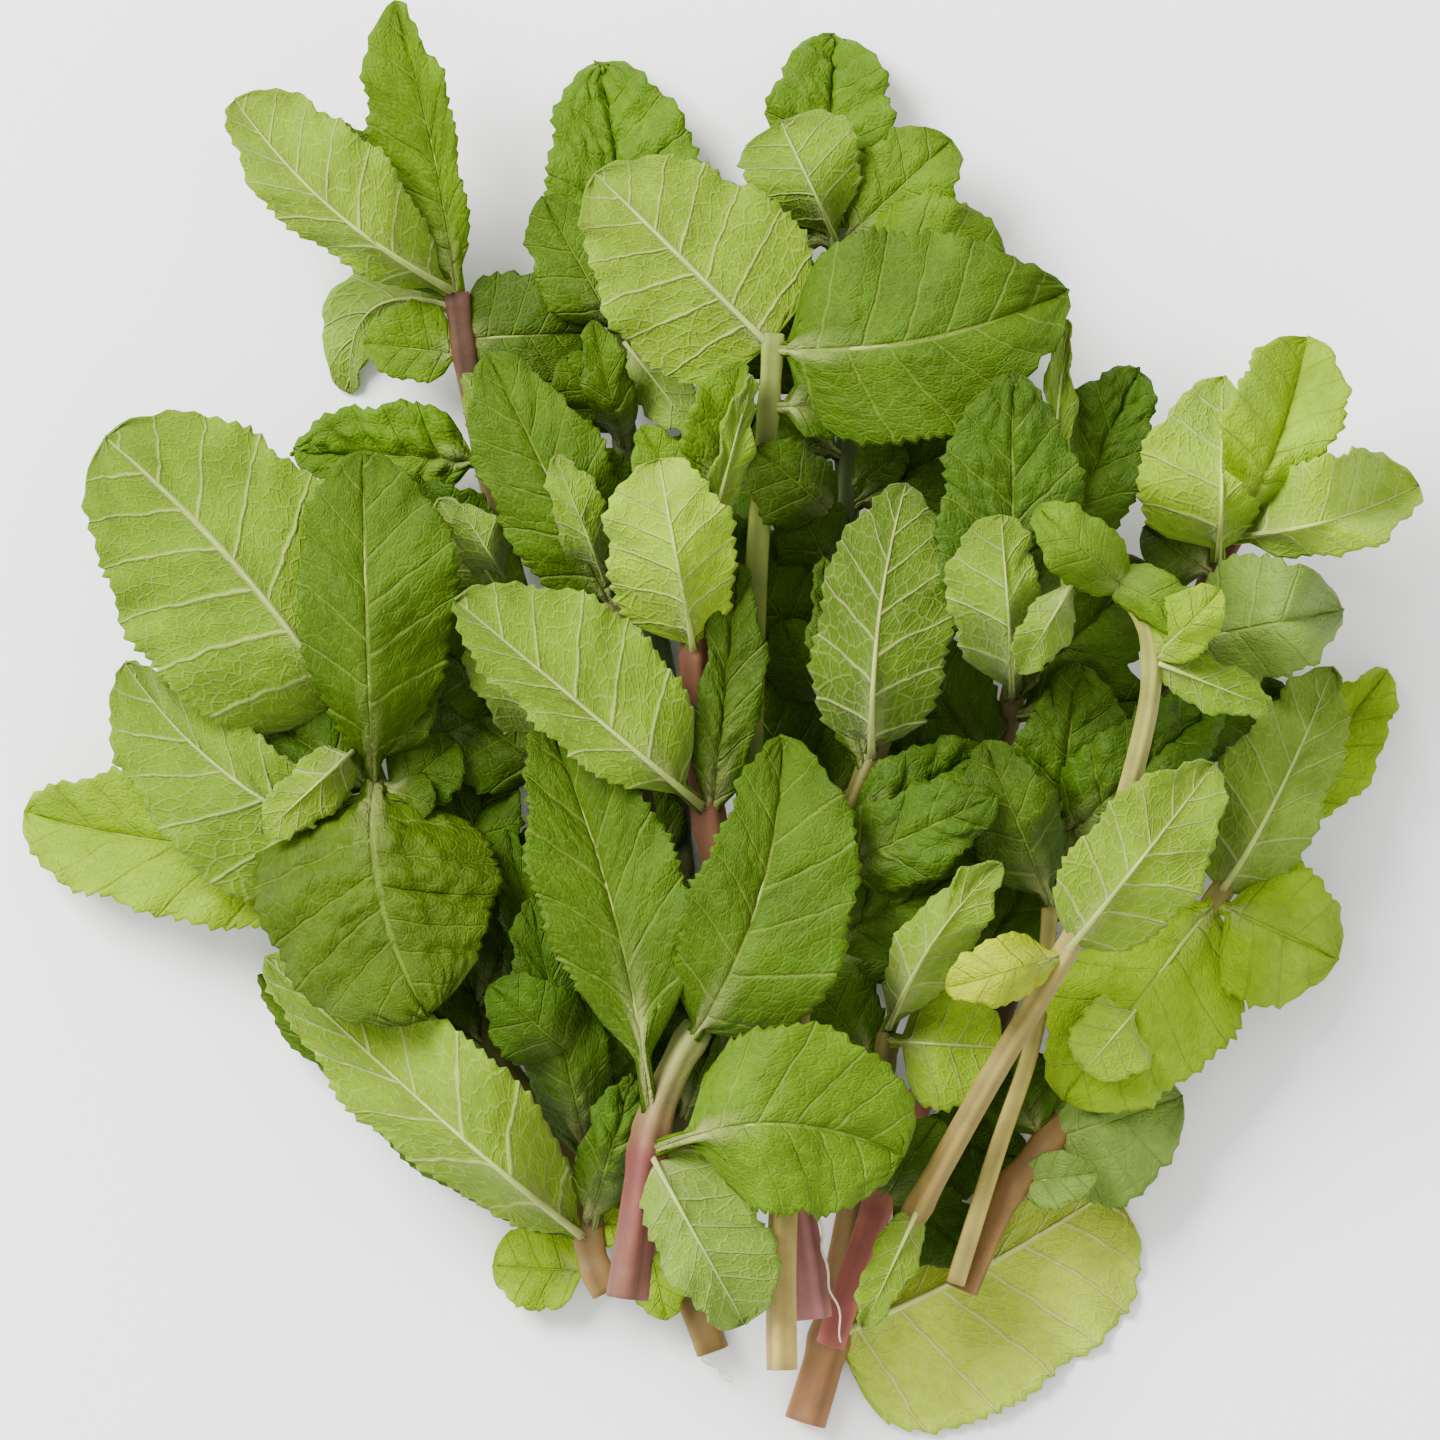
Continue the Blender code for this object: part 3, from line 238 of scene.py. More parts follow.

# The stem to the top right: a crinkled tuft at its tip over a bed of darker leaves, darker
# partly as painted shade. The dark green of its middle and tip is painted shade too, where it
# lies under other leaves.
sprig("top_right_sprig", 1, 4.2, 2.8, [
    (14, -60, 0), (13.5, -42, 0), (14, -12, 3), (18, 34, 7), (17, 60, 8), (16.5, 69, 9)
], [
    leaf(1, (16, 67), (0.7, 73.5), 4.5, 4.2, "shaded_dark_upper", rise=-2, heel=0.35),
    leaf(1, (17, 68), (16, 96.2), 8.6, 8.6, "crinkled_bright", rise=-6, arch=4, bow=0.5,
         blunt=0.42, heel=0.4, settle=True),
    leaf(2, (17, 67), (32.5, 81.5), 7, 6.5, "bright_upper", rise=1, arch=3, fold=(-6, 8),
         blunt=0.5),
    leaf(3, (17, 65), (40, 64.5), 9, 6, "bright_upper", rise=0, arch=4, fold=(-12, -6), blunt=0.5),
    leaf(3, (16.5, 67), (8.5, 84), 8, 8.5, "green_under", rise=4, fold=(-24, -20), blunt=0.36,
         heel=0.6),
    leaf(1, (17.5, 45), (0, 66), 9, 9, rise=-3, arch=3),
    leaf(1, (17.6, 46), (40, 59), 9, 9.5, rise=-3, arch=4),
    leaf(1, (17.5, 30), (42, 43), 8.5, 8.5, rise=-2, arch=3),
    leaf(1, (13.7, -38), (29, -20), 8, 8, arch=3),
    leaf(1, (16, 4), (-1, 28), 8, 8.5, rise=-2, arch=3),
    leaf(1, (16, 5), (36, 26), 8.5, 8.5, rise=-2, arch=3),
    leaf(2, (18, 27), (5, 38), 6.5, 5, "shaded_dark_upper", rise=2, arch=3),
    leaf(2, (18, 31), (26, 38), 3.8, 3.4, "shaded_dark_crinkled", rise=1, arch=1, stalk=2),
    leaf(1, (14.2, -12), (1.5, 6), 7, 7.5),
    leaf(1, (14.2, -15), (28, 1), 7.5, 7),
    leaf(1, (16.5, 18), (10, 32), 5.5, 5.5),
    leaf(1, (15.2, 0), (8.5, 14), 5, 5),
    leaf(1, (17.8, 36), (6, 42.5), 4.5, 4.5),
], "mint_mid", ("#4F4A26", "#34401A", "#3E4A1C"))

# The stem right of the middle, cut short and brown, with the most crinkled leaves, the darkest
# of all partly in their own colour and partly as painted shade.
sprig("right_inner_sprig", 1, 4.4, 3.0, [
    (15.5, -88, 5), (22.5, -67, 3), (31.5, -44, 3), (36.5, -20, 7), (41, 3, 14), (45, 20, 18)
], [
    leaf(1, (32, -37), (47, -17), 7.5, 7.5),
    leaf(1, (39, -8), (24, 13), 7.5, 7.5, rise=-2, arch=3),
    leaf(1, (35, -22), (21, 1), 8.5, 8, rise=-3, arch=3),
    leaf(1, (41, 3), (60, 22), 8, 8, rise=-5, arch=3),
    leaf(2, (44, 17), (37, 47.5), 5, 3.2, "shaded_dark_upper", rise=1, fold=(20, 20)),
    leaf(2, (44, 18), (58.5, 49), 8.4, 6.6, "shaded_dark_crinkled", rise=1, arch=3, blunt=0.5, heel=0.4),
    leaf(3, (44, 19), (48.5, 56), 2.2, 2.2, "green_under", rise=4, arch=1, fold=(48, -48)),
    leaf(6, (41, 5), (40.5, 48), 10.5, 9.5, "shaded_dark_crinkled", rise=4, arch=4, fold=(6, -4),
         blunt=0.6, heel=0.5),
    leaf(6, (41, 2), (39, 28.5), 8, 4.5, "green_under", rise=4, arch=3, fold=(-22, -30),
         blunt=0.45),
    leaf(1, (26.5, -57), (43, -62), 6.5, 7, settle=True),
    leaf(1, (23.5, -65), (36, -76), 5.5, 5.5, settle=True),
    leaf(1, (40.5, 0), (60, 3), 7, 6, rise=-2),
    leaf(1, (23, -69), (31, -55.5), 3.6, 3.8, stalk=1, settle=True),
], "mint_dark", ("#8E4A40", "#694D2A", "#4F4F20"))

# The long stem out to the right, with three clear bright leaves at a purple tip.
sprig("right_arm_sprig", 1, 4.2, 3.0, [
    (37, -49, 1), (40, -39, 1), (45, -28, 2), (54, -9, 4), (64, 9, 7), (69, 20, 9), (72.5, 27, 11)
], [
    leaf(2, (69, 20), (59.5, 27), 5.2, 5.2, "shaded_dark_upper", rise=-2, arch=1, heel=0.3, stalk=2),
    leaf(3, (71, 22), (70.5, 48.2), 11.6, 5, "lime_under", rise=2, fold=(-14, 10), heel=0.3),
    leaf(4, (72.5, 27), (82.3, 53.6), 8, 7.4, "lime_upper", rise=5, fold=(22, 8), bow=-1,
         blunt=0.42),
    leaf(4, (72.5, 26), (98, 33), 8.8, 4.8, "lime_under", rise=2, arch=4, fold=(-8, -8), bow=-1.5,
         blunt=0.5),
    leaf(4, (64.5, 11), (87.2, 15.5), 9.8, 7.5, "grey_upper", rise=-3, arch=4, fold=(-10, -16),
         heel=0.36),
    leaf(1, (57, -4), (80, 4), 6, 6),
], "mint_light", ("#55461F", "#4C4D1E", "#582F24"))

# The stem to the lower right, purple-brown at the cut, with soft lime leaves.
sprig("right_low_sprig", 2, 4.6, 2.8, [
    (34, -80, 0), (40, -67, 2), (48, -57, 5), (60, -39, 7), (70, -25, 8), (76, -15, 9)
], [
    leaf(2, (47, -58.5), (65, -53), 6.5, 11.5, "grey_upper", rise=-6, arch=3, fold=(-10, -24),
         heel=0.28, stalk=1, settle=True),
    leaf(2, (76, -16), (94, 7), 5, 7.2, "lime_upper", rise=-6, arch=5, fold=(20, -14),
         settle=True),
    leaf(3, (70, -24), (48, -53), 13, 10.5, "lime_upper", rise=-2, arch=5, fold=(-14, 12),
         blunt=0.5, heel=0.36),
    leaf(3, (69, -26), (87, -33.6), 9.8, 11, "lime_upper", rise=-7, arch=4, fold=(-8, -12),
         heel=0.36, settle=True),
    leaf(3, (71, -24.5), (86, 7.5), 8.6, 6.8, "grey_under", rise=0, arch=3, fold=(-16, -20),
         bow=-1, heel=0.4, stalk=1),
    leaf(4, (60, -36), (51, -49), 6, 5.4, "lime_under", rise=3, arch=3, fold=(-10, 26),
         blunt=0.45),
    leaf(2, (45.5, -60), (38.5, -45), 5.5, 5.5),
    leaf(2, (41.5, -65), (53, -63.5), 3.6, 4.2, "grey_upper", rise=-2, stalk=1),
], "mint_light", ("#6F4F24", "#6C5526", "#696424"))

# The short stem left of the middle with one mid-green leaf and two curled pale ones.
sprig("centre_left_sprig", 3, 4.0, 2.8, [
    (-7, -38, 6), (-9, -24, 10), (-11.5, -8, 14), (-14.5, 14, 18), (-16, 20, 18)
], [
    leaf(4, (-16, 18), (-36, 48.5), 4.4, 4, "green_under", rise=1, fold=(-26, -8)),
    leaf(5, (-14.5, 15), (-32.5, 51.3), 8.8, 8.4, "green_upper", rise=3, arch=4, fold=(-10, -10)),
    leaf(6, (-15, 18), (-23, 37), 3.4, 3.8, "green_under", rise=3, fold=(-14, -14)),
], "mint_mid", ("#55461F", "#4C4D1E", "#4F4F20"))

# The stem at the lower left, brown at the cut, with the long pale leaf that points back left.
sprig("low_left_sprig", 3, 4.4, 3.0, [
    (-16, -80.5, 1), (-18.5, -73, 3), (-18, -56, 7), (-17, -38, 9)
], [
    leaf(3, (-17, -78), (-32, -77), 5.8, 7.2, "lime_upper", rise=-3, blunt=0.5, heel=0.3,
         settle=True),
    leaf(3, (-18, -70), (-12.5, -71.5), 2.8, 3, "lime_upper", rise=0, arch=1, stalk=1),
    leaf(3, (-18, -58), (-30, -15.5), 5, 5, rise=-2, arch=3),
    leaf(3, (-17.5, -64), (-17, -33), 7, 6.4, "shaded_dark_crinkled", rise=1, arch=3),
    leaf(3, (-18, -62), (-26.5, -25), 6, 6, rise=0, arch=3, fold=(12, -6)),
    leaf(4, (-18.5, -73), (-65, -36), 5.6, 4, "green_upper", rise=-5, arch=4, fold=(-14, 10),
         bow=1, settle=True),
    leaf(5, (-18.5, -73), (-64, -33.3), 7, 10.8, "pale_under", arch=5, fold=(-16, -10), bow=0.5,
         blunt=0.7, heel=0.6),
    leaf(4, (-17.8, -72), (-12.5, -50), 4.2, 4.4, "shaded_dark_crinkled", rise=0),
    leaf(3, (-17.6, -50), (-32, -37), 6, 6.5, rise=-2),
], "mint_light", ("#6C5129", "#655528", "#4F4F20"))

# The stem right of the middle, tan at the cut, with one long leaf shown from its back.
sprig("centre_right_sprig", 3, 4.0, 2.8, [
    (8.7, -91, 0), (8.7, -72, 4), (11, -39, 9), (16, -18, 13), (21, -7, 16), (24, 2, 17)
], [
    leaf(4, (21, -8), (14.5, 22.5), 4.2, 4.4, "shaded_dark_upper", rise=0, fold=(18, 18)),
    leaf(4, (17, -15), (37, -4), 5.4, 5, "shaded_dark_crinkled", rise=-2, arch=3),
    leaf(5, (15, -22), (38.5, -10.5), 6.4, 6.4, "shaded_dark_crinkled", rise=0, arch=3, heel=0.36),
    leaf(5, (21.5, -7), (26, 33), 8.6, 9.7, "shaded_under", rise=5, arch=4, fold=(-24, -8),
         bow=1.5, blunt=0.6, heel=0.36),
    leaf(4, (13, -31), (37.5, -20), 5.4, 6, "shaded_dark_crinkled", arch=3),
], "mint_mid", ("#A38D46", "#7A6C32", "#4F4F20"))

# The thick salmon-coloured stem that sticks out furthest at the front, with the big pale leaf
# lying flat beside it.
sprig("low_right_sprig", 0, 5.2, 3.2, [
    (12, -99, 0), (15.5, -87, 0), (18, -74, 1), (20.5, -59, 3), (23.5, -44, 8)
], [
    leaf(0, (16, -87), (55.4, -66), 6, 19, "light_under", rise=-3, arch=3, fold=(-4, -5), bow=-1,
         blunt=0.3, heel=0.2, stalk=1, settle=True),
    leaf(5, (23.5, -45), (39.5, -46), 8, 9, "lime_under", rise=2, fold=(-8, -12), blunt=0.4,
         heel=0.3),
    leaf(6, (23.5, -44), (39.3, -20), 4.2, 4.8, "pale_under", rise=5, arch=3, fold=(-18, -14),
         bow=2),
    leaf(1, (22.6, -49), (11, -35), 6.5, 6.5, rise=-3),
], "mint_light", ("#875D38", "#70592C", "#605B24"))

# The thin tan stem under the long one, with three dark leaves, dark partly in their own green
# and partly as painted shade.
sprig("short_tan_sprig", 3, 2.8, 2.2, [
    (33, -79, 4), (39, -60, 7), (44, -45, 11), (46, -30, 14), (47, -14, 16)
], [
    leaf(4, (46.5, -22), (50, 7.8), 7, 9.6, "shaded_dark_crinkled", rise=0, arch=3, heel=0.4),
    leaf(4, (47, -18), (69.8, 3), 7.4, 7.4, "shaded_dark_crinkled", arch=3, heel=0.4),
    leaf(4, (46, -26), (37, -3), 7, 6, "shaded_dark_upper", rise=0, arch=3, fold=(-8, 8)),
], "mint_dark", ("#8E813C", "#857A35", "#696728"))

# The purple stem up the middle, with the big pale leaf that crosses the bunch to the left and
# small upright young leaves at its tip.
# Its cut end is coloured paler than its own purple, as painted light where the front leaf shades
# it.
sprig("centre_sprig", 2, 5.0, 3.2, [
    (13, -84, 3), (11, -70, 4), (5.5, -46, 8), (-0.5, -20, 19), (-3, -2, 22), (-3.5, 14, 23),
    (-1, 32, 25)
], [
    leaf(4, (-1, -14), (2.5, 22), 3.6, 5.2, "shaded_dark_upper", rise=-4, fold=(20, 20)),
    leaf(5, (-2, 25), (-11, 41), 4.4, 4, "bright_upper", rise=1, arch=1),
    leaf(6, (-1, 30), (3, 50), 6, 3, "bright_upper", rise=5, arch=1, fold=(24, 40)),
    leaf(6, (-2, 21), (4.5, 48), 2.2, 2.4, "green_under", rise=5, arch=1, fold=(50, -40)),
    leaf(6, (-4, 8), (-8.5, 36.5), 9.6, 8, "lime_under", rise=4, arch=4, fold=(-10, -12),
         blunt=0.5, heel=0.44),
    leaf(7, (-2, -13), (-37, 16.8), 6, 13, "green_under", rise=3, arch=6, fold=(2, -6), stalk=6),
], "mint_light", ("#8D5B55", "#67442D", "#643C24"), threads=[[
    (17, -2.2, 1.2), (12, -3.2, 1.8), (7, -2.7, 1.6), (2, -3.6, 1.0), (-4, -3.9, 0.3)
]])

# The thick purple stem on top at the front: two large smooth green leaves stand up from it and
# a round bright one lies to the right on its ribbed stalk.
sprig("front_sprig", 6, 5.4, 3.8, [
    (-13, -81, 4), (-11.5, -70, 9), (-9.5, -57, 16), (-6, -48, 21), (-3, -43, 23)
], [
    leaf(6, (-8.5, -60), (3.5, -84.5), 9.4, 5.6, "grey_under", rise=-10, arch=4, fold=(-12, -18),
         blunt=0.36, heel=0.33, stalk=2),
    leaf(6, (-9.3, -57), (-24.6, 0.8), 9.4, 10.4, "green_upper", rise=0, arch=5, fold=(8, 9),
         bow=-2.5, stalk=13),
    leaf(8, (-3.5, -45), (8.5, -2.3), 8.7, 13.6, "green_upper", rise=5, arch=6, fold=(7, 6),
         bow=-3.5, heel=0.4),
    leaf(9, (-8.8, -61), (25.5, -61), 13.5, 12.5, "bright_upper", rise=2, arch=6, fold=(-8, -10),
         bow=4.5, blunt=0.42, heel=0.36, stalk=8),
], "mint_mid", ("#6D4635", "#6C3933", "#829048"))

# The long tan stem laid on top last: bare for most of its length, bent over at the tip, with
# small young leaves at its joints.
sprig("long_tan_sprig", 7, 3.4, 2.4, [
    (21, -81, 6), (29, -66, 11), (39, -48, 17), (48, -33, 22), (54.6, -18, 26), (60, 3, 30),
    (60.5, 11, 31), (58, 17.5, 31), (53, 21, 30), (47.5, 20, 28)
], [
    leaf(7, (28, -68), (20, -85.4), 3, 3.4, "pale_under", rise=-7, fold=(-16, -16), stalk=1),
    leaf(7, (61, 8), (77, 1.5), 3.5, 3.5, "green_under", rise=-2, fold=(-14, -14), stalk=1),
    leaf(7, (49, 20.5), (41.5, 6.5), 3.4, 3.4, "green_under", rise=-4, fold=(-34, -24)),
    leaf(8, (57.5, 18.5), (44, 29.6), 5, 4.6, "bright_upper", rise=-2, arch=3, fold=(-14, -10),
         stalk=1),
    leaf(8, (54, 21), (68, 12.6), 4.4, 3, "bright_upper", rise=0, fold=(-14, -30), stalk=1),
    leaf(8, (60.8, 8.5), (69.5, 18), 4.6, 4, "lime_upper", rise=1, fold=(-8, -8), stalk=1),
    leaf(8, (48, -34), (69, -6.2), 8.4, 8.6, "pale_under", rise=2, arch=4, fold=(-12, -10),
         heel=0.4),
    leaf(8, (47.5, -33.5), (31.5, -37.5), 4, 5, "yellow_upper", rise=0, arch=3, fold=(-14, -14),
         stalk=2),
], "mint_light", ("#765D2B", "#857937", "#818938"))

# How the bunch lies
# Nobody arranges a bunch: stems and leaves settle one over another. They are laid in the order
# they went down, over a map of how high the pile stands so far, and each keeps clear of it.
SEED = 11

# In millimetres: how thick a blade and how wide half a stalk is taken to be, and the gaps that
# are kept. The sweep says how far forward the side veins run. A leaf's root is free of the test.
BLADE = 0.7
STALK_HALF_WIDTH = 1.1
VEIN_SWEEP = 0.7
LAYER_GAP = 1.75
STEM_GAP = 0.9
TABLE_GAP = 0.5
ROOT_FREE = 6.0
ROOT_HELD = 2.0
NO_FLOOR = -50.0

# The map of the pile: cells of a millimetre, out to this far from the middle of the table.
CELL = 1.0
FIELD = 116.0
CELLS = 232

# A leaf's lines have this many stations. It is tested in rows and columns, out past its margin,
# and settles in rounds: a low place is raised by a share, and the margins and midrib drag on
# one another.
STATIONS = 17
TEST_ROWS = 33
TEST_COLUMNS = 13
TEST_EDGE = 1.08
SETTLING_ROUNDS = 45
SETTLING_PACE = 0.6
MIDRIB_BAND = 0.6
MARGIN_BAND = 0.3
DRAG = 0.15
SWING = 0.3
LEAST_SWING = 0.05

# A stem is held as even samples. It lies straight between every fourth of them, keeps a gentle
# slope down from what lifts it, and is tested and mapped in bands across its width.
STEM_SAMPLES = 57
STEM_STEP = 4
ROUTE_STEPS = 12
STEM_ROUNDS = 10
STEM_ROUNDING = 16.0
STEM_SLOPE = 0.26
STRAIGHT_ROUNDS = 20
STRAIGHT_PACE = 0.35
BANDS_UNDER = (-1.25, -0.6, 0, 0.6, 1.25)
BANDS_OVER = (-1, -0.5, 0, 0.5, 1)
FINE = 4

# Waves of a margin: their height, how many there are to a leaf, and the leaf's chance twist.
WAVE_HEIGHT = (0.3, 0.9)
WAVE_COUNT = (1.2, 2.1)
TWIST = 5.0


def on_table(point):
    """A point of the drawing, in millimetres, as it lies over the origin."""
    return np.array(point, dtype=float) - np.array(BUNCH_CENTRE)


def smooth_route(route, samples):
    """Even points along a smooth curve through the route's own points."""
    points = [(*on_table(p[:2]), p[2]) for p in route]
    knots = np.array([points[0]] + points + [points[-1]], dtype=float)
    dense = []
    for i in range(1, len(knots) - 2):
        before, start, end, after = knots[i - 1:i + 3]
        for t in np.linspace(0, 1, ROUTE_STEPS, endpoint=False):
            dense.append(0.5 * (2 * start + (end - before) * t
                                + (2 * before - 5 * start + 4 * end - after) * t ** 2
                                + (3 * start - before - 3 * end + after) * t ** 3))
    dense.append(knots[-2])
    dense = np.array(dense)
    lengths = np.linalg.norm(np.diff(dense, axis=0), axis=1)
    along = np.concatenate(([0], np.cumsum(lengths)))
    even = np.linspace(0, along[-1], samples)
    return np.column_stack([np.interp(even, along, dense[:, axis]) for axis in range(3)])


def table_cells(x, y):
    """The rows and columns of the cells of the table that points lie in."""
    column = np.clip(((x + FIELD) / CELL).astype(int), 1, CELLS - 2)
    row = np.clip(((y + FIELD) / CELL).astype(int), 1, CELLS - 2)
    return row, column


class Pile:
    """How high the leaves and stems laid so far stand over each cell of the table."""

    def __init__(self):
        self.top = np.zeros((CELLS, CELLS))
        self.owner = np.full((CELLS, CELLS), -1)

    def height(self, x, y):
        """How high the pile stands at the points, and whose stem or leaf is on top there."""
        place = table_cells(x, y)
        return self.top[place], self.owner[place]

    def lay(self, x, y, z, owner):
        """Raise the cells under the points, and their neighbours, to the points' height."""
        row, column = table_cells(x.ravel(), y.ravel())
        z = z.ravel()
        for down in (-1, 0, 1):
            for across in (-1, 0, 1):
                place = (row + down, column + across)
                np.maximum.at(self.top, place, z)
                mine = self.top[place] <= z
                self.owner[place[0][mine], place[1][mine]] = owner


def eased(line):
    """A line with each inner point drawn towards its neighbours."""
    calm = line.copy()
    calm[1:-1] = (line[:-2] + 2 * line[1:-1] + line[2:]) / 4
    return calm


def lay_stem(pile, item, owner):
    """Lay a stem over what is there. It holds straight between the points it rests on."""
    line = smooth_route(item["route"], STEM_SAMPLES)
    share = np.linspace(0, 1, STEM_SAMPLES)
    half = (item["thick"] + (item["thin"] - item["thick"]) * share) / 2
    ahead = np.gradient(line[:, :2], axis=0)
    ahead /= np.linalg.norm(ahead, axis=1)[:, None]
    side = np.column_stack((-ahead[:, 1], ahead[:, 0]))
    under = np.zeros(STEM_SAMPLES)
    for offset in BANDS_UNDER:
        band = line[:, :2] + side * (half * offset)[:, None]
        top = pile.height(band[:, 0], band[:, 1])[0]
        under = np.maximum(under, top)
    resting = np.where(under > 0, under + STEM_GAP, 0)
    needed = np.maximum(resting, line[:, 2]) + half
    apart = np.linalg.norm(line[:, None, :2] - line[None, :, :2], axis=2)
    drop = np.where(apart < STEM_ROUNDING, apart ** 2 / (2 * STEM_ROUNDING),
                    apart - STEM_ROUNDING / 2) * STEM_SLOPE
    height = (needed - drop).max(axis=1)
    for _ in range(STEM_ROUNDS):
        height = eased(height)
    height = straight_runs(height, needed)
    stations = np.arange(0, STEM_SAMPLES, STEM_STEP)
    fine = np.linspace(0, STEM_SAMPLES - 1, FINE * STEM_SAMPLES)
    line = np.column_stack((line[:, :2], height))
    item["line"] = np.column_stack(
        [np.interp(np.arange(STEM_SAMPLES), stations, line[stations, axis]) for axis in range(3)])
    item["half"] = half
    for offset in BANDS_OVER:
        band = np.column_stack((item["line"][:, :2] + side * (half * offset)[:, None],
                                item["line"][:, 2] + half))
        x, y, z = [np.interp(fine, np.arange(STEM_SAMPLES), band[:, axis]) for axis in range(3)]
        pile.lay(x, y, z, owner)


def straight_runs(height, needed):
    """Heights of a stem that runs straight between its stations and clears what it crosses."""
    samples = np.arange(STEM_SAMPLES)
    stations = samples[::STEM_STEP]
    knots = height[stations]
    for _ in range(STRAIGHT_ROUNDS):
        short = np.maximum(needed - np.interp(samples, stations, knots), 0)
        for place, station in enumerate(stations):
            near = short[max(station - STEM_STEP, 0):station + STEM_STEP + 1]
            knots[place] += near.max() * STRAIGHT_PACE
    return np.interp(samples, stations, knots)


def root_on_stem(item, root):
    """The point of the stem's middle line nearest to where the leaf is drawn."""
    gaps = np.linalg.norm(item["line"][:, :2] - on_table(root), axis=1)
    return item["line"][np.argmin(gaps)]


def outline_width(spec, share):
    """Half width, as a share of the widest, along the leaf: stalk first, then the blade."""
    stalk = spec["stalk"] / spec["length"]
    blade = np.clip((share - stalk) / (1 - stalk), 0, 1)
    heel, blunt = spec["heel"], spec["blunt"]
    peak = heel / (heel + blunt)
    return blade ** heel * (1 - blade) ** blunt / (peak ** heel * (1 - peak) ** blunt)


def leaf_plan(spec, u, v, teeth=0):
    """Where the point u along and v across the leaf lies in plan, with the reach of its teeth
    beyond the outline. The side veins run forward, so lines of equal u sweep towards the tip."""
    share = 1 - (1 - u) ** (1 + VEIN_SWEEP * np.abs(v))
    middle_x = spec["base"][0] + spec["reach"][0] * share
    middle_y = spec["base"][1] + spec["reach"][1] * share
    bow = spec["bow"] * 4 * share * (1 - share)
    ahead = spec["reach"] / spec["length"]
    slope = spec["bow"] * 4 * (1 - 2 * share) / spec["length"]
    size = np.sqrt(1 + slope ** 2)
    side_x = (-ahead[1] - ahead[0] * slope) / size
    side_y = (ahead[0] - ahead[1] * slope) / size
    half = np.where(v > 0, spec["halves"][0], spec["halves"][1])
    out = v * np.maximum(half * outline_width(spec, share), STALK_HALF_WIDTH * (1 - share))
    out = out + teeth
    x = middle_x - ahead[1] * bow + side_x * out
    y = middle_y + ahead[0] * bow + side_y * out
    return x, y


def leaf_heights(spec, u, v):
    """Height of the leaf's middle surface: straight from the midrib out to each margin."""
    stations = np.linspace(0, 1, STATIONS)
    right, middle, left = [np.interp(u, stations, line) for line in spec["lines"]]
    margin = np.where(v > 0, left, right)
    return middle + (margin - middle) * np.abs(v)


def first_shape(spec):
    """The leaf's own lie before it meets anything: the heights of its right margin, midrib
    and left margin along its length."""
    u = np.linspace(0, 1, STATIONS)
    middle = spec["base"][2] + spec["rise"] * u + spec["arch"] * 4 * u * (1 - u)
    edge = 1 - (1 - u) ** (1 + VEIN_SWEEP)
    width = outline_width(spec, edge)
    wave = spec["wave"] * np.sin(2 * math.pi * (spec["waves"] * u + spec["phase"])) * width
    turn = math.tan(math.radians(spec["twist"]))
    left = middle + spec["halves"][0] * width * (math.tan(math.radians(spec["fold"][0])) + turn)
    right = middle + spec["halves"][1] * width * (math.tan(math.radians(spec["fold"][1])) - turn)
    return [right - wave, middle, left + wave]


def lay_leaf(pile, item, spec, owner, draws):
    """Lay a leaf over the pile: it keeps its own shape and rides over what lies below."""
    spec["base"] = root_on_stem(item, spec["root"])
    spec["reach"] = on_table(spec["tip"]) - spec["base"][:2]
    spec["length"] = float(np.linalg.norm(spec["reach"]))
    spec["wave"] = draws.uniform(*WAVE_HEIGHT)
    spec["waves"] = draws.uniform(*WAVE_COUNT)
    spec["phase"] = draws.uniform(0, 1)
    spec["twist"] = draws.uniform(-TWIST, TWIST)
    spec["lines"] = first_shape(spec)
    u, v = np.meshgrid(np.linspace(0, 1, TEST_ROWS),
                       np.linspace(-TEST_EDGE, TEST_EDGE, TEST_COLUMNS), indexing="ij")
    x, y = leaf_plan(spec, u, v)
    top, holder = pile.height(x, y)
    needed = np.where(top > 0, top + LAYER_GAP, TABLE_GAP)
    near_root = u * spec["length"] < ROOT_FREE
    needed = np.where(near_root & (holder == owner), NO_FLOOR, needed)
    needed = np.where(u * spec["length"] < ROOT_HELD, NO_FLOOR, needed)
    free = np.clip(np.linspace(0, 1, STATIONS) * spec["length"] / ROOT_FREE, 0, 1)
    for _ in range(SETTLING_ROUNDS):
        settle_lines(spec, needed, u, v, free)
    lift_clear(spec, needed, u, v, near_root)
    pile.lay(x, y, leaf_heights(spec, u, v) + BLADE / 2, owner)


def settle_lines(spec, needed, u, v, free):
    """One round: raise the midrib and margins where the leaf is too low, then ease them."""
    short = np.maximum(needed - leaf_heights(spec, u, v), 0)
    rows = np.linspace(0, 1, TEST_ROWS)
    stations = np.linspace(0, 1, STATIONS)
    reach = (v[0] <= -MARGIN_BAND, np.abs(v[0]) <= MIDRIB_BAND, v[0] >= MARGIN_BAND)
    raised = []
    for line, columns in zip(spec["lines"], reach):
        want = short[:, columns].max(axis=1)
        want = np.maximum(want, np.maximum(np.roll(want, 1), np.roll(want, -1)) / 2)
        raised.append(line + np.interp(stations, rows, want) * free * SETTLING_PACE)
    own = first_shape(spec)
    extra = [line - shape for line, shape in zip(raised, own)]
    softer = [eased(lift) for lift in extra]
    for calm, lift in zip(softer, extra):
        calm[-1] = (lift[-1] + lift[-2]) / 2
        calm[0] = 0
    right, middle, left = softer
    middle = (1 - 2 * DRAG) * middle + DRAG * (left + right)
    right = (1 - DRAG) * right + DRAG * middle
    left = (1 - DRAG) * left + DRAG * middle
    spec["lines"] = [lift + shape for lift, shape in zip((right, middle, left), own)]


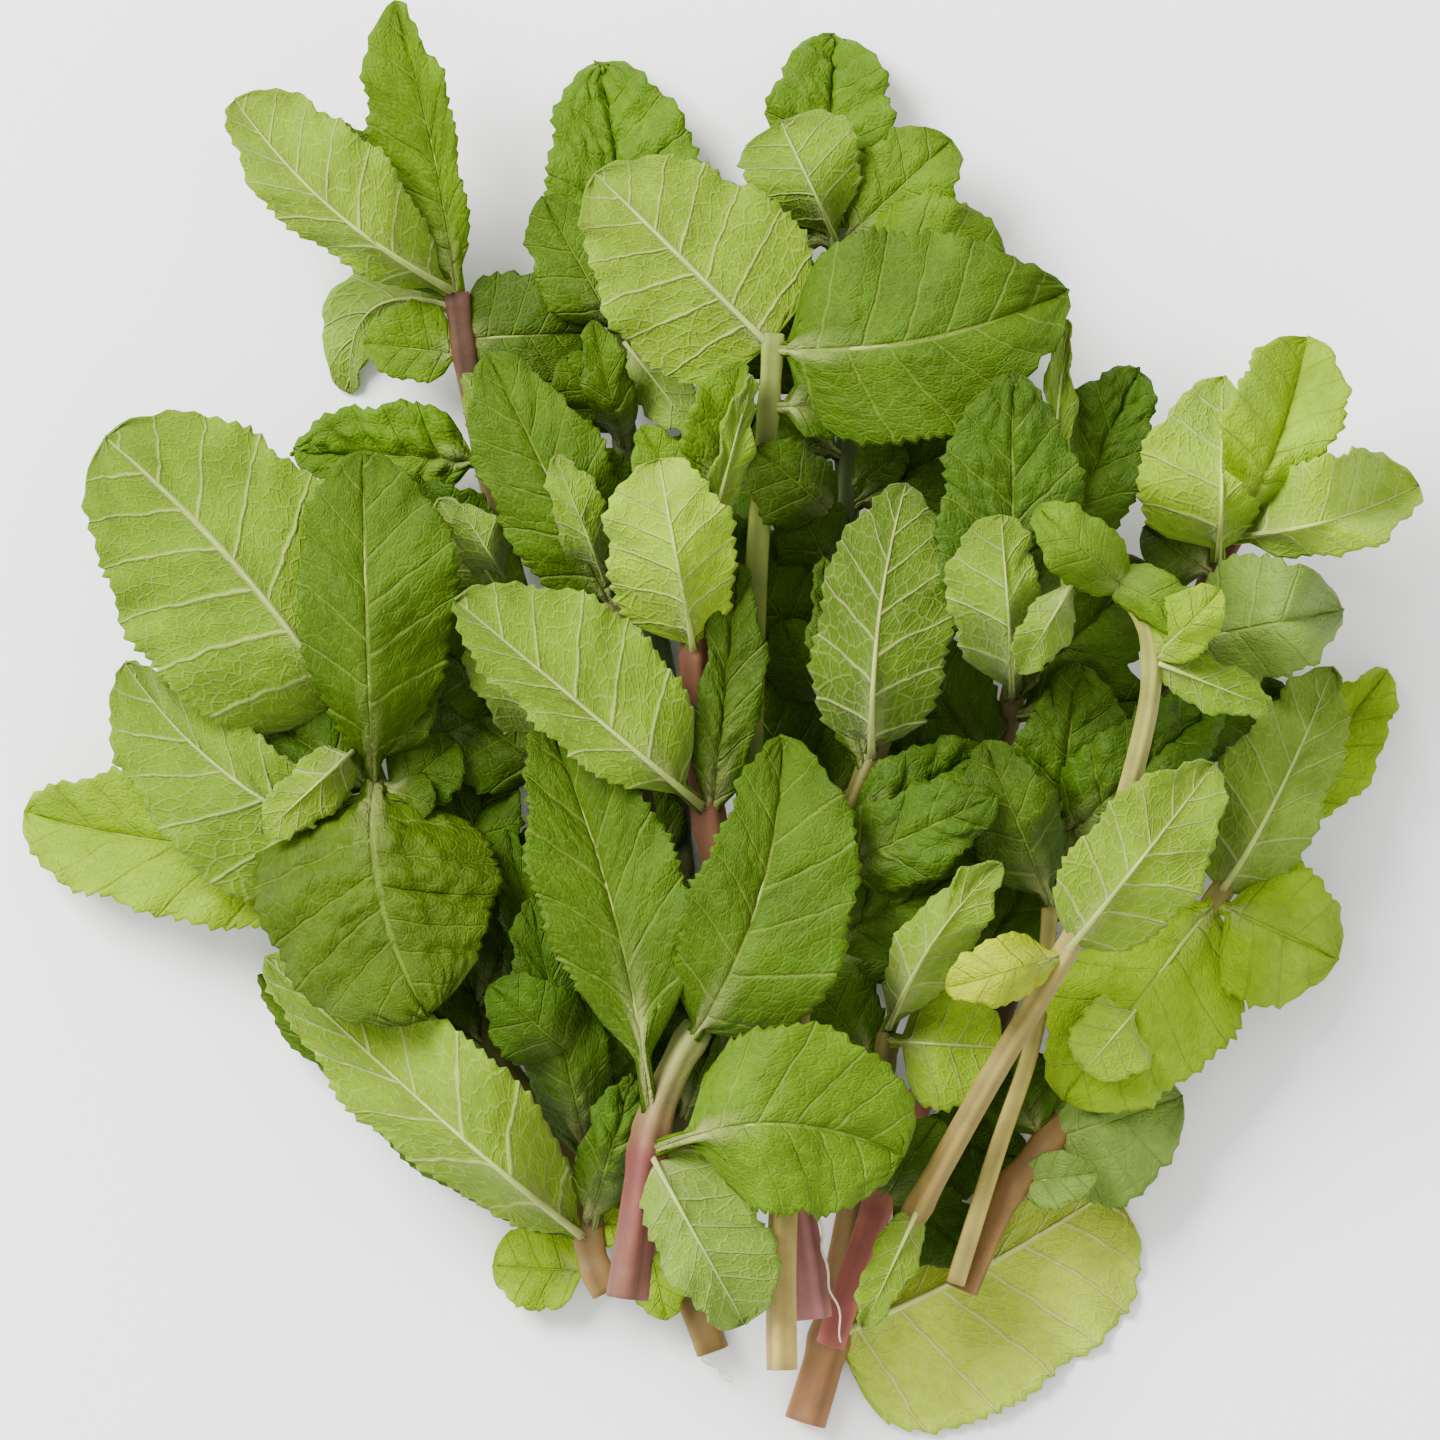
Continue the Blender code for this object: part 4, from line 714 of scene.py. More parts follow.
def lift_clear(spec, needed, u, v, near_root):
    """Raise the whole leaf from its root until it clears all, or let it down to rest."""
    gap = (needed - leaf_heights(spec, u, v)) / np.maximum(swing(u), LEAST_SWING)
    lift = float(gap[~near_root].max())
    if lift < 0 and not spec["settle"]:
        lift = 0
    rise = lift * swing(np.linspace(0, 1, STATIONS))
    spec["lines"] = [line + rise for line in spec["lines"]]


def swing(u):
    """Share of a lift that is reached at u along the leaf: quick at the root, then level."""
    return 1 - (1 - np.clip(u / SWING, 0, 1)) ** 2


def lay_bunch():
    """Lay every stem and leaf, lowest tier first, so that none passes through another."""
    pile = Pile()
    order = []
    for owner, item in enumerate(SPRIGS):
        order.append((item["tier"], 0, owner, 0))
        for count, spec in enumerate(item["leaves"]):
            order.append((spec["tier"], 1, owner, count))
    for _, is_leaf, owner, count in sorted(order):
        item = SPRIGS[owner]
        if is_leaf:
            draws = np.random.default_rng((SEED, owner, count))
            lay_leaf(pile, item, item["leaves"][count], owner, draws)
        else:
            lay_stem(pile, item, owner)


lay_bunch()

# The leaf blades
# A mint leaf is a thin soft sheet, matt and paler on its back, with a sunken net of veins that
# quilts its face, raised veins behind, and forward-pointing teeth all round its margin.
SHEET = 0.36
LOWEST = 0.45
LARGE_LEAF = 27.0
VEINS_LARGE = 7
VEINS_SMALL = 5
STAGGER = 0.35
SOFTENING = (-0.04, -0.02, 0.0, 0.02, 0.04)

# The teeth: how far apart, how deep, how unlike one another, and the outline of one. On a leaf
# narrower than the full width they are shallower.
TOOTH_SPACING = 2.4
TOOTH_DEPTH = 0.68
TOOTH_SPREAD = 0.4
TOOTH_OUTLINE = ((0.0, 0.0), (0.36, 0.55), (0.68, 1.0), (0.86, 0.3))
FULL_WIDTH = 20.0
FEWEST_TEETH = 4
MARGIN_RAMP = 0.8
RAMP_POWER = 1.5

# Each wave of the outline: how many to a leaf, how it shifts from leaf to leaf, how far the
# right margin is out of step with the left, and its share of the depth.
WOBBLES = ((2.3, 1, 0.4, 0.6), (5.2, 3, 0.3, 0.4))
WOBBLE_DEPTH = 0.9

# The grid of a blade: rows along its stalk, and columns of this width across it.
STALK_ROWS = 4
COLUMN_WIDTH = 0.62
FEWEST_COLUMNS = 10
MOST_COLUMNS = 44

# Quilting: the cells of the net, how round the swellings are and where they begin beside the
# midrib, and the groove of the midrib. The spreads give each leaf its own part of a noise.
CELL_SIZE = 2.7
CELL_EDGE = 0.5
CELL_SHARE = 0.5
CELL_SPREAD = 50
SWELL_POWER = 0.6
SWELL_START = 0.15
RIB_DEPTH = 0.5
RIB_WIDTH = 0.06

# Buckles and ripples, in millimetres. The stalk holds the first quarter of a blade flatter.
BUCKLE_SIZE = 8.5
BUCKLE_DEPTH = 0.75
BUCKLE_SPREAD = 40
RIPPLE_LENGTH = 6.8
RIPPLE_DEPTH = 0.65
RIPPLE_START = 0.45
RIPPLE_SHIFT = 0.3
HELD_SHARE = 0.25

# The pale flush where the blade meets its stalk: colour, strength, how far it runs as a share
# of the leaf, and how it fades across in millimetres.
HEEL_HEX = "#A3AD66"
HEEL_FLUSH = 0.65
HEEL_REACH = 0.08
HEEL_EDGE = 1.6
HEEL_FADE = 2.0

# The places of the materials on each piece: leaf face, leaf back, stem skin and cut pith.
FACE, BACK, SKIN, PITH = range(4)

# Each finish: the side that faces up, the colour of the face, the colour of the back, how deep
# the quilting is in millimetres and how strongly the veins are coloured. The dark, deep and
# shaded finishes are darker partly in the leaves' own green and partly as painted shade, for
# leaves that lie under others and down in the gaps of the pile.
FINISHES = {
    "lime_upper": ("upper", "#759302", "#819906", 0.58, 0.35),
    "yellow_upper": ("upper", "#8D9B01", "#90A203", 0.51, 0.3),
    "bright_upper": ("upper", "#4D6B03", "#5C770C", 0.78, 0.35),
    "green_upper": ("upper", "#3B5602", "#506909", 0.72, 0.35),
    "grey_upper": ("upper", "#617B2D", "#748D3F", 0.51, 0.4),
    "shaded_dark_upper": ("upper", "#304703", "#475A05", 0.95, 0.3),
    "shaded_deep_upper": ("upper", "#2E4800", "#5B7306", 0.9, 0.2),
    "quilted_upper": ("upper", "#3C5103", "#495D09", 1.9, 0.25),
    "crinkled_bright": ("upper", "#486703", "#5E7909", 1.9, 0.3),
    "shaded_dark_crinkled": ("upper", "#344F05", "#526A0C", 1.7, 0.3),
    "pale_under": ("under", "#496B02", "#648005", 0.54, 0.5),
    "light_under": ("under", "#7D9B15", "#A0B62C", 0.51, 1.0),
    "green_under": ("under", "#3F5F01", "#5B7804", 0.54, 0.42),
    "lime_under": ("under", "#6E9101", "#7B9B02", 0.51, 0.5),
    "grey_under": ("under", "#45690C", "#648020", 0.54, 0.45),
    "shaded_under": ("under", "#2E4D02", "#425C02", 0.54, 0.5),
}


def even_on_margin(share):
    """The place along the midrib whose side vein meets the margin at this share of it."""
    return 1 - (1 - share) ** (1 / (1 + VEIN_SWEEP))


def vein_count(spec):
    """How many side veins a leaf has on each side."""
    return VEINS_LARGE if spec["length"] > LARGE_LEAF else VEINS_SMALL


def margin_rows(spec, draws):
    """Rows of the blade from stalk to tip: each row's u, and how far the teeth on the right
    and on the left stand out there. No two teeth are quite alike."""
    teeth = max(FEWEST_TEETH, round(spec["length"] / TOOTH_SPACING))
    start = spec["stalk"] / spec["length"]
    rows = [(start * count / STALK_ROWS, 0.0, 0.0) for count in range(STALK_ROWS)]
    widths = 1 + draws.uniform(-TOOTH_SPREAD, TOOTH_SPREAD, teeth)
    begins = np.concatenate(([0], np.cumsum(widths))) / widths.sum()
    for count in range(teeth):
        right, left = 1 + draws.uniform(-TOOTH_SPREAD, TOOTH_SPREAD, 2)
        for part, height in TOOTH_OUTLINE:
            place = begins[count] + (begins[count + 1] - begins[count]) * part
            u = start + (1 - start) * even_on_margin(place)
            rows.append((u, height * right, height * left))
    rows.append((1.0, 0.0, 0.0))
    return np.array(rows)


def margin_wobble(spec, u, v):
    """The outline is never quite even: it wanders in and out a little along each margin."""
    total = 0
    for waves, shift, step, share in WOBBLES:
        turn = 2 * math.pi * (u * waves + spec["phase"] * shift + step * (v < 0))
        total = total + np.sin(turn) * share
    return total * WOBBLE_DEPTH * np.sin(math.pi * u)


def soft_heights(spec, u, v):
    """The height of the sheet with the corners between its stations eased."""
    samples = [leaf_heights(spec, np.clip(u + step, 0, 1), v) for step in SOFTENING]
    return np.mean(samples, axis=0)


def quilting(spec, u, v, along, across):
    """Relief towards the leaf's face: swellings between the side veins, broken by finer cells,
    and a groove down the midrib that shows behind as a rib."""
    between = 1 - np.abs(2 * ((u * vein_count(spec) + STAGGER * (v < 0)) % 1) - 1)
    swell = between ** SWELL_POWER * np.clip(np.abs(v) / SWELL_START, 0, 1)
    swell = swell * (1 - np.abs(v) ** 3)
    phase = spec["phase"] * CELL_SPREAD
    cells = np.zeros(u.size)
    for place, (ahead, aside) in enumerate(zip(along, across)):
        near = noise.voronoi(Vector((ahead / CELL_SIZE, aside / CELL_SIZE, phase)))[0]
        cells[place] = min(near[1] - near[0], CELL_EDGE)
    cells = cells / CELL_EDGE * (1 - np.abs(v) ** 4)
    rib = np.exp(-(v / RIB_WIDTH) ** 2) * (1 - u) ** 0.5
    return spec["relief"] * (swell * (1 - CELL_SHARE) + cells * CELL_SHARE) - RIB_DEPTH * rib


def uneven_lie(spec, u, v, along, across):
    """How far a limp leaf strays up and down: slow buckles all over, ripples at its margin."""
    phase = spec["phase"] * BUCKLE_SPREAD
    buckle = np.array([noise.noise(Vector((ahead / BUCKLE_SIZE, aside / BUCKLE_SIZE, phase)))
                       for ahead, aside in zip(along, across)])
    turn = 2 * math.pi * (along / RIPPLE_LENGTH + spec["phase"] + RIPPLE_SHIFT * (v < 0))
    outer = np.clip((np.abs(v) - RIPPLE_START) / (1 - RIPPLE_START), 0, 1)
    ripple = np.sin(turn) * outer ** RAMP_POWER
    free = np.clip(u / HELD_SHARE, 0, 1)
    return (buckle * BUCKLE_DEPTH + ripple * RIPPLE_DEPTH * np.sin(math.pi * u)) * free


def add_blade(bm, layers, spec, draws):
    """Add one leaf to the sprig's sheet: a grid with its points moved to the leaf's surface."""
    side, face, back, relief, veins = FINISHES[spec["look"]]
    soft = min(1, spec["length"] / LARGE_LEAF)
    spec["relief"] = relief * soft
    rows = margin_rows(spec, draws)
    width = sum(spec["halves"])
    columns = 2 * round(np.clip(width / COLUMN_WIDTH, FEWEST_COLUMNS, MOST_COLUMNS) / 2)
    verts = bmesh.ops.create_grid(bm, x_segments=columns, y_segments=len(rows) - 1,
                                  size=1)["verts"]
    v = np.array([vert.co.x for vert in verts])
    row = np.array([round((vert.co.y + 1) / 2 * (len(rows) - 1)) for vert in verts])
    u = rows[row, 0]
    depth = TOOTH_DEPTH * min(1, width / FULL_WIDTH)
    ramp = np.clip((np.abs(v) - MARGIN_RAMP) / (1 - MARGIN_RAMP), 0, 1) ** RAMP_POWER
    tooth = np.where(v > 0, rows[row, 2], rows[row, 1])
    reach = ramp * tooth * depth + np.abs(v) * margin_wobble(spec, u, v) * soft
    x, y = leaf_plan(spec, u, v, np.sign(v) * reach)
    along = u * spec["length"]
    across = v * width / 2
    z = soft_heights(spec, u, v) + uneven_lie(spec, u, v, along, across) * soft
    facing = 1 if side == "upper" else -1
    for vert, px, py, pz in zip(verts, x, y, np.maximum(z, LOWEST)):
        vert.co = (px, py, pz)
    faces = list({near for vert in verts for near in vert.link_faces})
    bmesh.ops.recalc_face_normals(bm, faces=faces)
    if sum(near.normal.z for near in faces) < 0:
        bmesh.ops.reverse_faces(bm, faces=faces)
    relief = quilting(spec, u, v, along, across) * facing
    for vert in verts:
        vert.normal_update()
    heel = HEEL_REACH * spec["length"]
    flush = HEEL_FLUSH * np.exp(-np.clip(along - spec["stalk"], 0, None) / heel)
    flush = flush * np.clip(HEEL_EDGE - np.abs(across) / HEEL_FADE, 0, 1)
    for count, vert in enumerate(verts):
        vert.co += vert.normal * relief[count]
        for layer, tint in (("face", face), ("back", back)):
            mixed = np.array(linear(tint, veins))
            mixed[:3] += (spec["flush"][:3] - mixed[:3]) * flush[count]
            vert[layers[layer]] = mixed
    places = {vert: count for count, vert in enumerate(verts)}
    for near in faces:
        near.material_index = FACE if side == "upper" else BACK
        near.smooth = True
        stagger = STAGGER if sum(v[places[loop.vert]] for loop in near.loops) < 0 else 0
        for loop in near.loops:
            count = places[loop.vert]
            loop[layers["veins"]].uv = (u[count] * vein_count(spec) + stagger, v[count])
            loop[layers["blade"]].uv = (along[count], across[count])


# Mint leaf skin: matt and faintly downy, so it shines little. The scales are cycles to a
# millimetre of leaf, and the widths of the veins are shares of their spacing.
FACE_VEIN_HEX = "#85963E"
BACK_VEIN_HEX = "#C4CC72"
LEAF_SPECULAR = 0.11
PATCH_SCALE = 0.11
SPECKLE_SCALE = 0.9
WANDER_SCALE = 0.25
NET_SCALE = 0.62
GRAIN_SCALE = 2.6
LATERAL_WIDTH = (0.09, 0.042)
LATERAL_SHARE = 0.75
MIDRIB_EDGES = (0.01, 0.045)
NET_WIDTH = 0.14
NET_SHARE = 0.22
RELIEF = 0.0004


def add_node(tree, kind, inputs=None, **settings):
    """Add a shader node with its settings, its input values and the links that feed it. A node
    given as an input stands for its first output."""
    node = tree.nodes.new("ShaderNode" + kind)
    for name, value in settings.items():
        setattr(node, name, value)
    for socket, value in (inputs or {}).items():
        if isinstance(value, bpy.types.Node):
            value = value.outputs[0]
        if isinstance(value, bpy.types.NodeSocket):
            tree.links.new(value, node.inputs[socket])
        else:
            node.inputs[socket].default_value = value
    return node


def leaf_side_material(name, tint_name, vein_hex, rough, raised, sheen):
    """One side of a mint leaf: its tint, the net of veins drawn over it, and a fine relief."""
    material, tree, shader = new_material(name, Roughness=rough, Sheen_Weight=sheen,
                                          Specular_IOR_Level=LEAF_SPECULAR)
    tint = add_node(tree, "Attribute", attribute_name=tint_name)
    net = add_node(tree, "UVMap", uv_map="veins")
    blade = add_node(tree, "UVMap", uv_map="blade")

    # Slow patches of a warmer and a cooler green, a centimetre or so across, and fine speckle.
    patch = add_node(tree, "TexNoise", {"Vector": blade, "Scale": PATCH_SCALE, "Detail": 3.0,
                                        "Roughness": 0.55})
    patch_range = add_node(tree, "MapRange", {"Value": patch, "From Min": 0.3, "From Max": 0.7,
                                              "To Min": 0.76, "To Max": 1.24})
    speckle = add_node(tree, "TexNoise", {"Vector": blade, "Scale": SPECKLE_SCALE,
                                          "Detail": 2.0})
    speckle_range = add_node(tree, "MapRange", {"Value": speckle, "From Min": 0.3,
                                                "From Max": 0.7, "To Min": 0.94,
                                                "To Max": 1.06})
    shade = add_node(tree, "Math", {0: patch_range, 1: speckle_range}, operation="MULTIPLY")
    patched = add_node(tree, "VectorMath", {0: tint, "Scale": shade}, operation="SCALE")

    # Side veins lie where the first coordinate crosses a whole number. They wander a little and
    # thin out towards the margin, and between them runs a finer net.
    wander = add_node(tree, "TexNoise", {"Vector": blade, "Scale": WANDER_SCALE})
    wander_range = add_node(tree, "MapRange", {"Value": wander, "To Min": -0.1, "To Max": 0.1})
    split = add_node(tree, "SeparateXYZ", {0: net})
    along = add_node(tree, "Math", {0: split, 1: wander_range}, operation="ADD")
    whole = add_node(tree, "Math", {0: along, 1: 0.5}, operation="PINGPONG")
    off = add_node(tree, "Math", {0: split.outputs["Y"]}, operation="ABSOLUTE")
    thin = add_node(tree, "MapRange", {"Value": off, "To Min": LATERAL_WIDTH[0],
                                       "To Max": LATERAL_WIDTH[1]})
    lateral = add_node(tree, "MapRange", {"Value": whole, "From Min": 0.0, "From Max": thin,
                                          "To Min": 1.0, "To Max": 0.0},
                       interpolation_type="SMOOTHSTEP")
    midrib = add_node(tree, "MapRange", {"Value": off, "From Min": MIDRIB_EDGES[0],
                                         "From Max": MIDRIB_EDGES[1], "To Min": 1.0,
                                         "To Max": 0.0}, interpolation_type="SMOOTHSTEP")
    cells = add_node(tree, "TexVoronoi", {"Vector": blade, "Scale": NET_SCALE},
                     feature="DISTANCE_TO_EDGE", voronoi_dimensions="2D")
    mesh_vein = add_node(tree, "MapRange", {"Value": cells, "From Min": 0.0,
                                            "From Max": NET_WIDTH, "To Min": NET_SHARE,
                                            "To Max": 0.0}, interpolation_type="SMOOTHSTEP")
    soft_lateral = add_node(tree, "Math", {0: lateral, 1: LATERAL_SHARE}, operation="MULTIPLY")
    strong = add_node(tree, "Math", {0: soft_lateral, 1: midrib}, operation="MAXIMUM")
    every = add_node(tree, "Math", {0: strong, 1: mesh_vein}, operation="MAXIMUM")
    amount = add_node(tree, "Math", {0: every, 1: tint.outputs["Alpha"]}, operation="MULTIPLY")
    veined = add_node(tree, "Mix", {0: amount, 6: patched, 7: linear(vein_hex)},
                      data_type="RGBA")
    tree.links.new(veined.outputs[2], shader.inputs["Base Color"])

    # Relief: the veins stand out behind and sink in the face, and the blade is finely grained.
    grain = add_node(tree, "TexNoise", {"Vector": blade, "Scale": GRAIN_SCALE, "Detail": 2.0})
    height = add_node(tree, "Math", {0: every, 1: raised, 2: grain}, operation="MULTIPLY_ADD")
    bump = add_node(tree, "Bump", {"Height": height, "Strength": 0.8, "Distance": RELIEF})
    tree.links.new(bump.outputs[0], shader.inputs["Normal"])
    return material


leaf_face = leaf_side_material("mint_leaf_face", "face", FACE_VEIN_HEX, 0.5, -1.1, 0.0)
leaf_back = leaf_side_material("mint_leaf_back", "back", BACK_VEIN_HEX, 0.66, 1.8, 0.08)

# The stems
# Mint stems are square with a rounded ridge at each corner, swollen where leaves join them, and
# flushed purple or tan with age. The cut ends are pale and pithy.
RING_POINTS = 24
SQUARENESS = 3.4
HOLLOWING = 0.07
FIRST_TURN = 0.3
RIDGES = 4
# The stem is painted lighter on its ridges and darker on the hollow sides between them: a painted
# highlight and painted shade.
RIDGE_PAINTED_LIGHT = 0.2
STREAKS = 7
STREAK_TINT = 0.1
EASING_ROUNDS = 4
SWELLING = 0.16
SWELLING_REACH = 2.0
LEAST_HEIGHT = 0.02
UP = np.array((0, 0, 1.0))
PITH_INSET = 0.35
PITH_DEPTH = 0.12
PITH_HEX = "#AFB777"

# Stem skin is satin. It has a blotchy flush a few millimetres across, and a grain drawn coarse
# enough to show, both in cycles to a metre.
FLUSH_SCALE = 220.0
SKIN_SCALE = 1600.0
SKIN_RELIEF = 0.0002


def ring_radius(angle):
    """Radius of the stem's outline at an angle: a square with round ridges and hollow sides."""
    flats = abs(math.cos(angle)) ** SQUARENESS + abs(math.sin(angle)) ** SQUARENESS
    return flats ** (-1 / SQUARENESS) - HOLLOWING * math.cos(2 * angle) ** 2


def stem_swelling(item, point):
    """How much thicker the stem is near the roots of its leaves."""
    nearest = min(np.linalg.norm(point - spec["base"]) for spec in item["leaves"])
    return 1 + SWELLING * math.exp(-(nearest / SWELLING_REACH) ** 2)


def stem_tint(item, count):
    """The stem's colour at one sample: cut end, middle and tip, mixed along its length."""
    share = 2 * count / (STEM_SAMPLES - 1)
    tints = np.array([linear(code) for code in item["stem"]])
    return np.array([np.interp(share, (0, 1, 2), tints[:, part]) for part in range(4)])


def level_side(ahead):
    """The level direction to the left of a line that runs this way."""
    side = np.cross(UP, ahead / np.linalg.norm(ahead))
    return side / np.linalg.norm(side)


def first_ring(bm, points):
    """A closed ring to draw out into a stem: its points, its edges and the face that caps it."""
    ring = bmesh.ops.create_circle(bm, cap_ends=True, segments=points, radius=1)["verts"]
    cap = ring[0].link_faces[0]
    return ring, list(cap.edges), cap


def next_ring(bm, ring, edges):
    """Extrude a ring one step: the new ring's points, in the order of the old, and its edges."""
    made = bmesh.ops.extrude_edge_only(bm, edges=edges)["geom"]
    pairs = {}
    for vert in (part for part in made if isinstance(part, bmesh.types.BMVert)):
        for edge in vert.link_edges:
            if edge.other_vert(vert) in ring:
                pairs[edge.other_vert(vert)] = vert
    fresh = [part for part in made if isinstance(part, bmesh.types.BMEdge)
             and len(part.link_faces) == 1]
    return [pairs[vert] for vert in ring], fresh


def place_ring(verts, item, count, ahead, layer):
    """Set a ring of the stem round its line and colour it by its place along the stem."""
    side = level_side(ahead)
    centre = item["line"][count]
    size = item["half"][count] * stem_swelling(item, centre)
    mixed = stem_tint(item, count)
    for place, vert in enumerate(verts):
        angle = 2 * math.pi * place / RING_POINTS
        turned = angle + item["turn"]
        radius = ring_radius(turned) * size
        offset = side * math.cos(angle) * radius + UP * math.sin(angle) * radius
        height = max(centre[2] + offset[2], LEAST_HEIGHT)
        vert.co = (centre[0] + offset[0], centre[1] + offset[1], height)
        # Painted highlight on the ridges and painted shade on the hollow sides, then the stem's
        # own streaks.
        shade = 1 - RIDGE_PAINTED_LIGHT * math.cos(RIDGES * turned)
        shade = shade + STREAK_TINT * math.sin(STREAKS * turned + 1)
        vert[layer] = (*(mixed[:3] * shade), 1)


def add_stem(item):
    """The stem as its own mesh: one ring extruded from sample to sample, with a pithy cut end."""
    bm = bmesh.new()
    item["turn"] = FIRST_TURN + item["thick"]
    line = item["line"]
    for _ in range(EASING_ROUNDS):
        line[:] = eased(line)
    layer = bm.verts.layers.float_color.new("stem")
    ring, edges, start = first_ring(bm, RING_POINTS)
    ahead = np.gradient(line, axis=0)
    place_ring(ring, item, 0, ahead[0], layer)
    for count in range(1, STEM_SAMPLES):
        ring, edges = next_ring(bm, ring, edges)
        place_ring(ring, item, count, ahead[count], layer)
    end = bmesh.ops.contextual_create(bm, geom=edges)["faces"]
    cuts = [start] + list(end)
    for face in cuts:
        bmesh.ops.inset_region(bm, faces=[face], thickness=PITH_INSET, depth=-PITH_DEPTH)
    for face in bm.faces:
        face.smooth = face not in cuts
        face.material_index = PITH if face in cuts else SKIN
    bmesh.ops.recalc_face_normals(bm, faces=bm.faces)
    return bm


def mint_stem_material():
    """Fresh stem skin: satin, flushed in patches over the streaks that its rings carry."""
    material, tree, shader = new_material("mint_stem_skin", Roughness=0.6,
                                          Specular_IOR_Level=0.3)
    tint = add_node(tree, "Attribute", attribute_name="stem")
    place = add_node(tree, "TexCoord").outputs["Object"]
    flush = add_node(tree, "TexNoise", {"Vector": place, "Scale": FLUSH_SCALE, "Detail": 3.0})
    flush_range = add_node(tree, "MapRange", {"Value": flush, "From Min": 0.3, "From Max": 0.7,
                                              "To Min": 0.8, "To Max": 1.2})
    shaded = add_node(tree, "VectorMath", {0: tint, "Scale": flush_range}, operation="SCALE")
    tree.links.new(shaded.outputs[0], shader.inputs["Base Color"])
    grain = add_node(tree, "TexNoise", {"Vector": place, "Scale": SKIN_SCALE, "Detail": 2.0})
    bump = add_node(tree, "Bump", {"Height": grain, "Strength": 0.3, "Distance": SKIN_RELIEF})
    tree.links.new(bump.outputs[0], shader.inputs["Normal"])
    return material


stem_skin = mint_stem_material()
stem_pith, _, _ = new_material("cut_stem_pith", Base_Color=linear(PITH_HEX), Roughness=0.75)

# The leaf stalks and the threads
# Each leaf joins its stem by a short stalk that runs on up the back of the blade as its midrib.
# Beside two of the cut stems hangs a pale thread, a young root or a shred of torn skin.
STALK_POINTS = 8
STALK_STATIONS = 15
STALK_THICK = 0.8
STALK_THIN = 0.1
STALK_REACH = 0.8
STALK_TAPER = 0.45
STALK_SUNK = 0.45
STALK_LEAST = 0.45
STALK_FULL = 80
THREAD_STATIONS = 26
THREAD_THICK = 0.28
THREAD_TAPER = 0.6
THREAD_WAVER = 0.35
THREAD_WAVES = (5, 3)
THREAD_HEX = "#DCD4B2"


def add_stalk(bm, spec, layer):
    """A tapered tube from the stem along the midrib, sunk into the back of the blade."""
    side, _, back, _, veins = FINISHES[spec["look"]]
    down = -1 if side == "upper" else 1
    share = np.linspace(0, STALK_REACH, STALK_STATIONS)
    x, y = leaf_plan(spec, share, np.zeros_like(share))
    z = soft_heights(spec, share, np.zeros_like(share))
    size = STALK_THICK + (STALK_THIN - STALK_THICK) * (share / STALK_REACH) ** STALK_TAPER
    size = size * min(1, STALK_LEAST + spec["length"] / STALK_FULL)
    z = z + down * (size * STALK_SUNK + RIB_DEPTH * (1 - share) ** 0.5)
    line = np.column_stack((x, y, z))
    line[0] = spec["base"]
    fade = np.exp(-share / HEEL_REACH)[:, None]
    midrib = np.array(linear(back)) * (1 - veins) + np.array(linear(BACK_VEIN_HEX)) * veins
    tints = spec["flush"] * fade + midrib * (1 - fade)
    add_tube(bm, line, size, tints, layer)


def add_tube(bm, line, sizes, tints, layer):
    """A round tube along a line, with its own thickness and colour at each station."""
    ahead = np.gradient(line, axis=0)
    ring, edges, _ = first_ring(bm, STALK_POINTS)
    for count in range(len(line)):
        if count:
            ring, edges = next_ring(bm, ring, edges)
        side = level_side(ahead[count])
        for place, vert in enumerate(ring):
            angle = 2 * math.pi * place / STALK_POINTS
            offset = side * math.cos(angle) + UP * math.sin(angle)
            vert.co = line[count] + offset * sizes[count]
            vert[layer] = tints[count]
    bmesh.ops.contextual_create(bm, geom=edges)


def add_thread(bm, item, points, layer):
    """A root thread or a shred of skin: a thin wavering tube beside the stem."""
    steps = np.linalg.norm(np.diff(item["line"], axis=0), axis=1)
    run = np.concatenate(((0,), np.cumsum(steps)))
    stations = np.linspace(0, len(points) - 1, THREAD_STATIONS)
    bend = np.column_stack([np.interp(stations, range(len(points)), part)
                            for part in zip(*points)])
    bend[:, 1] += THREAD_WAVER * np.sin(stations * THREAD_WAVES[0] + 1)
    bend[:, 2] += THREAD_WAVER * np.sin(stations * THREAD_WAVES[1])
    forward = item["line"][1] - item["line"][0]
    forward /= np.linalg.norm(forward)
    left = np.cross(UP, forward)
    line = np.column_stack([np.interp(bend[:, 0], run, part) for part in item["line"].T])
    line += np.minimum(bend[:, :1], 0) * forward
    line += bend[:, 1:2] * left
    line[:, 2] = np.maximum(line[:, 2] + bend[:, 2], THREAD_THICK)
    sizes = THREAD_THICK * (1 - THREAD_TAPER * np.linspace(0, 1, THREAD_STATIONS))
    tints = [linear(THREAD_HEX)] * THREAD_STATIONS
    add_tube(bm, line, sizes, tints, layer)


# Growing each leafy stem
# Blades, stalks and stem are one living piece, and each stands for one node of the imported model.
# The blades get their thickness last, as a sheet does, and all is turned to metres.
WELD = 0.004


def turn_backs(solid):
    """Give the lower shell of each blade the other side's material: the sheet was one-sided."""
    for face in solid.faces:
        if face.normal.z < 0:
            face.material_index = BACK if face.material_index == FACE else FACE


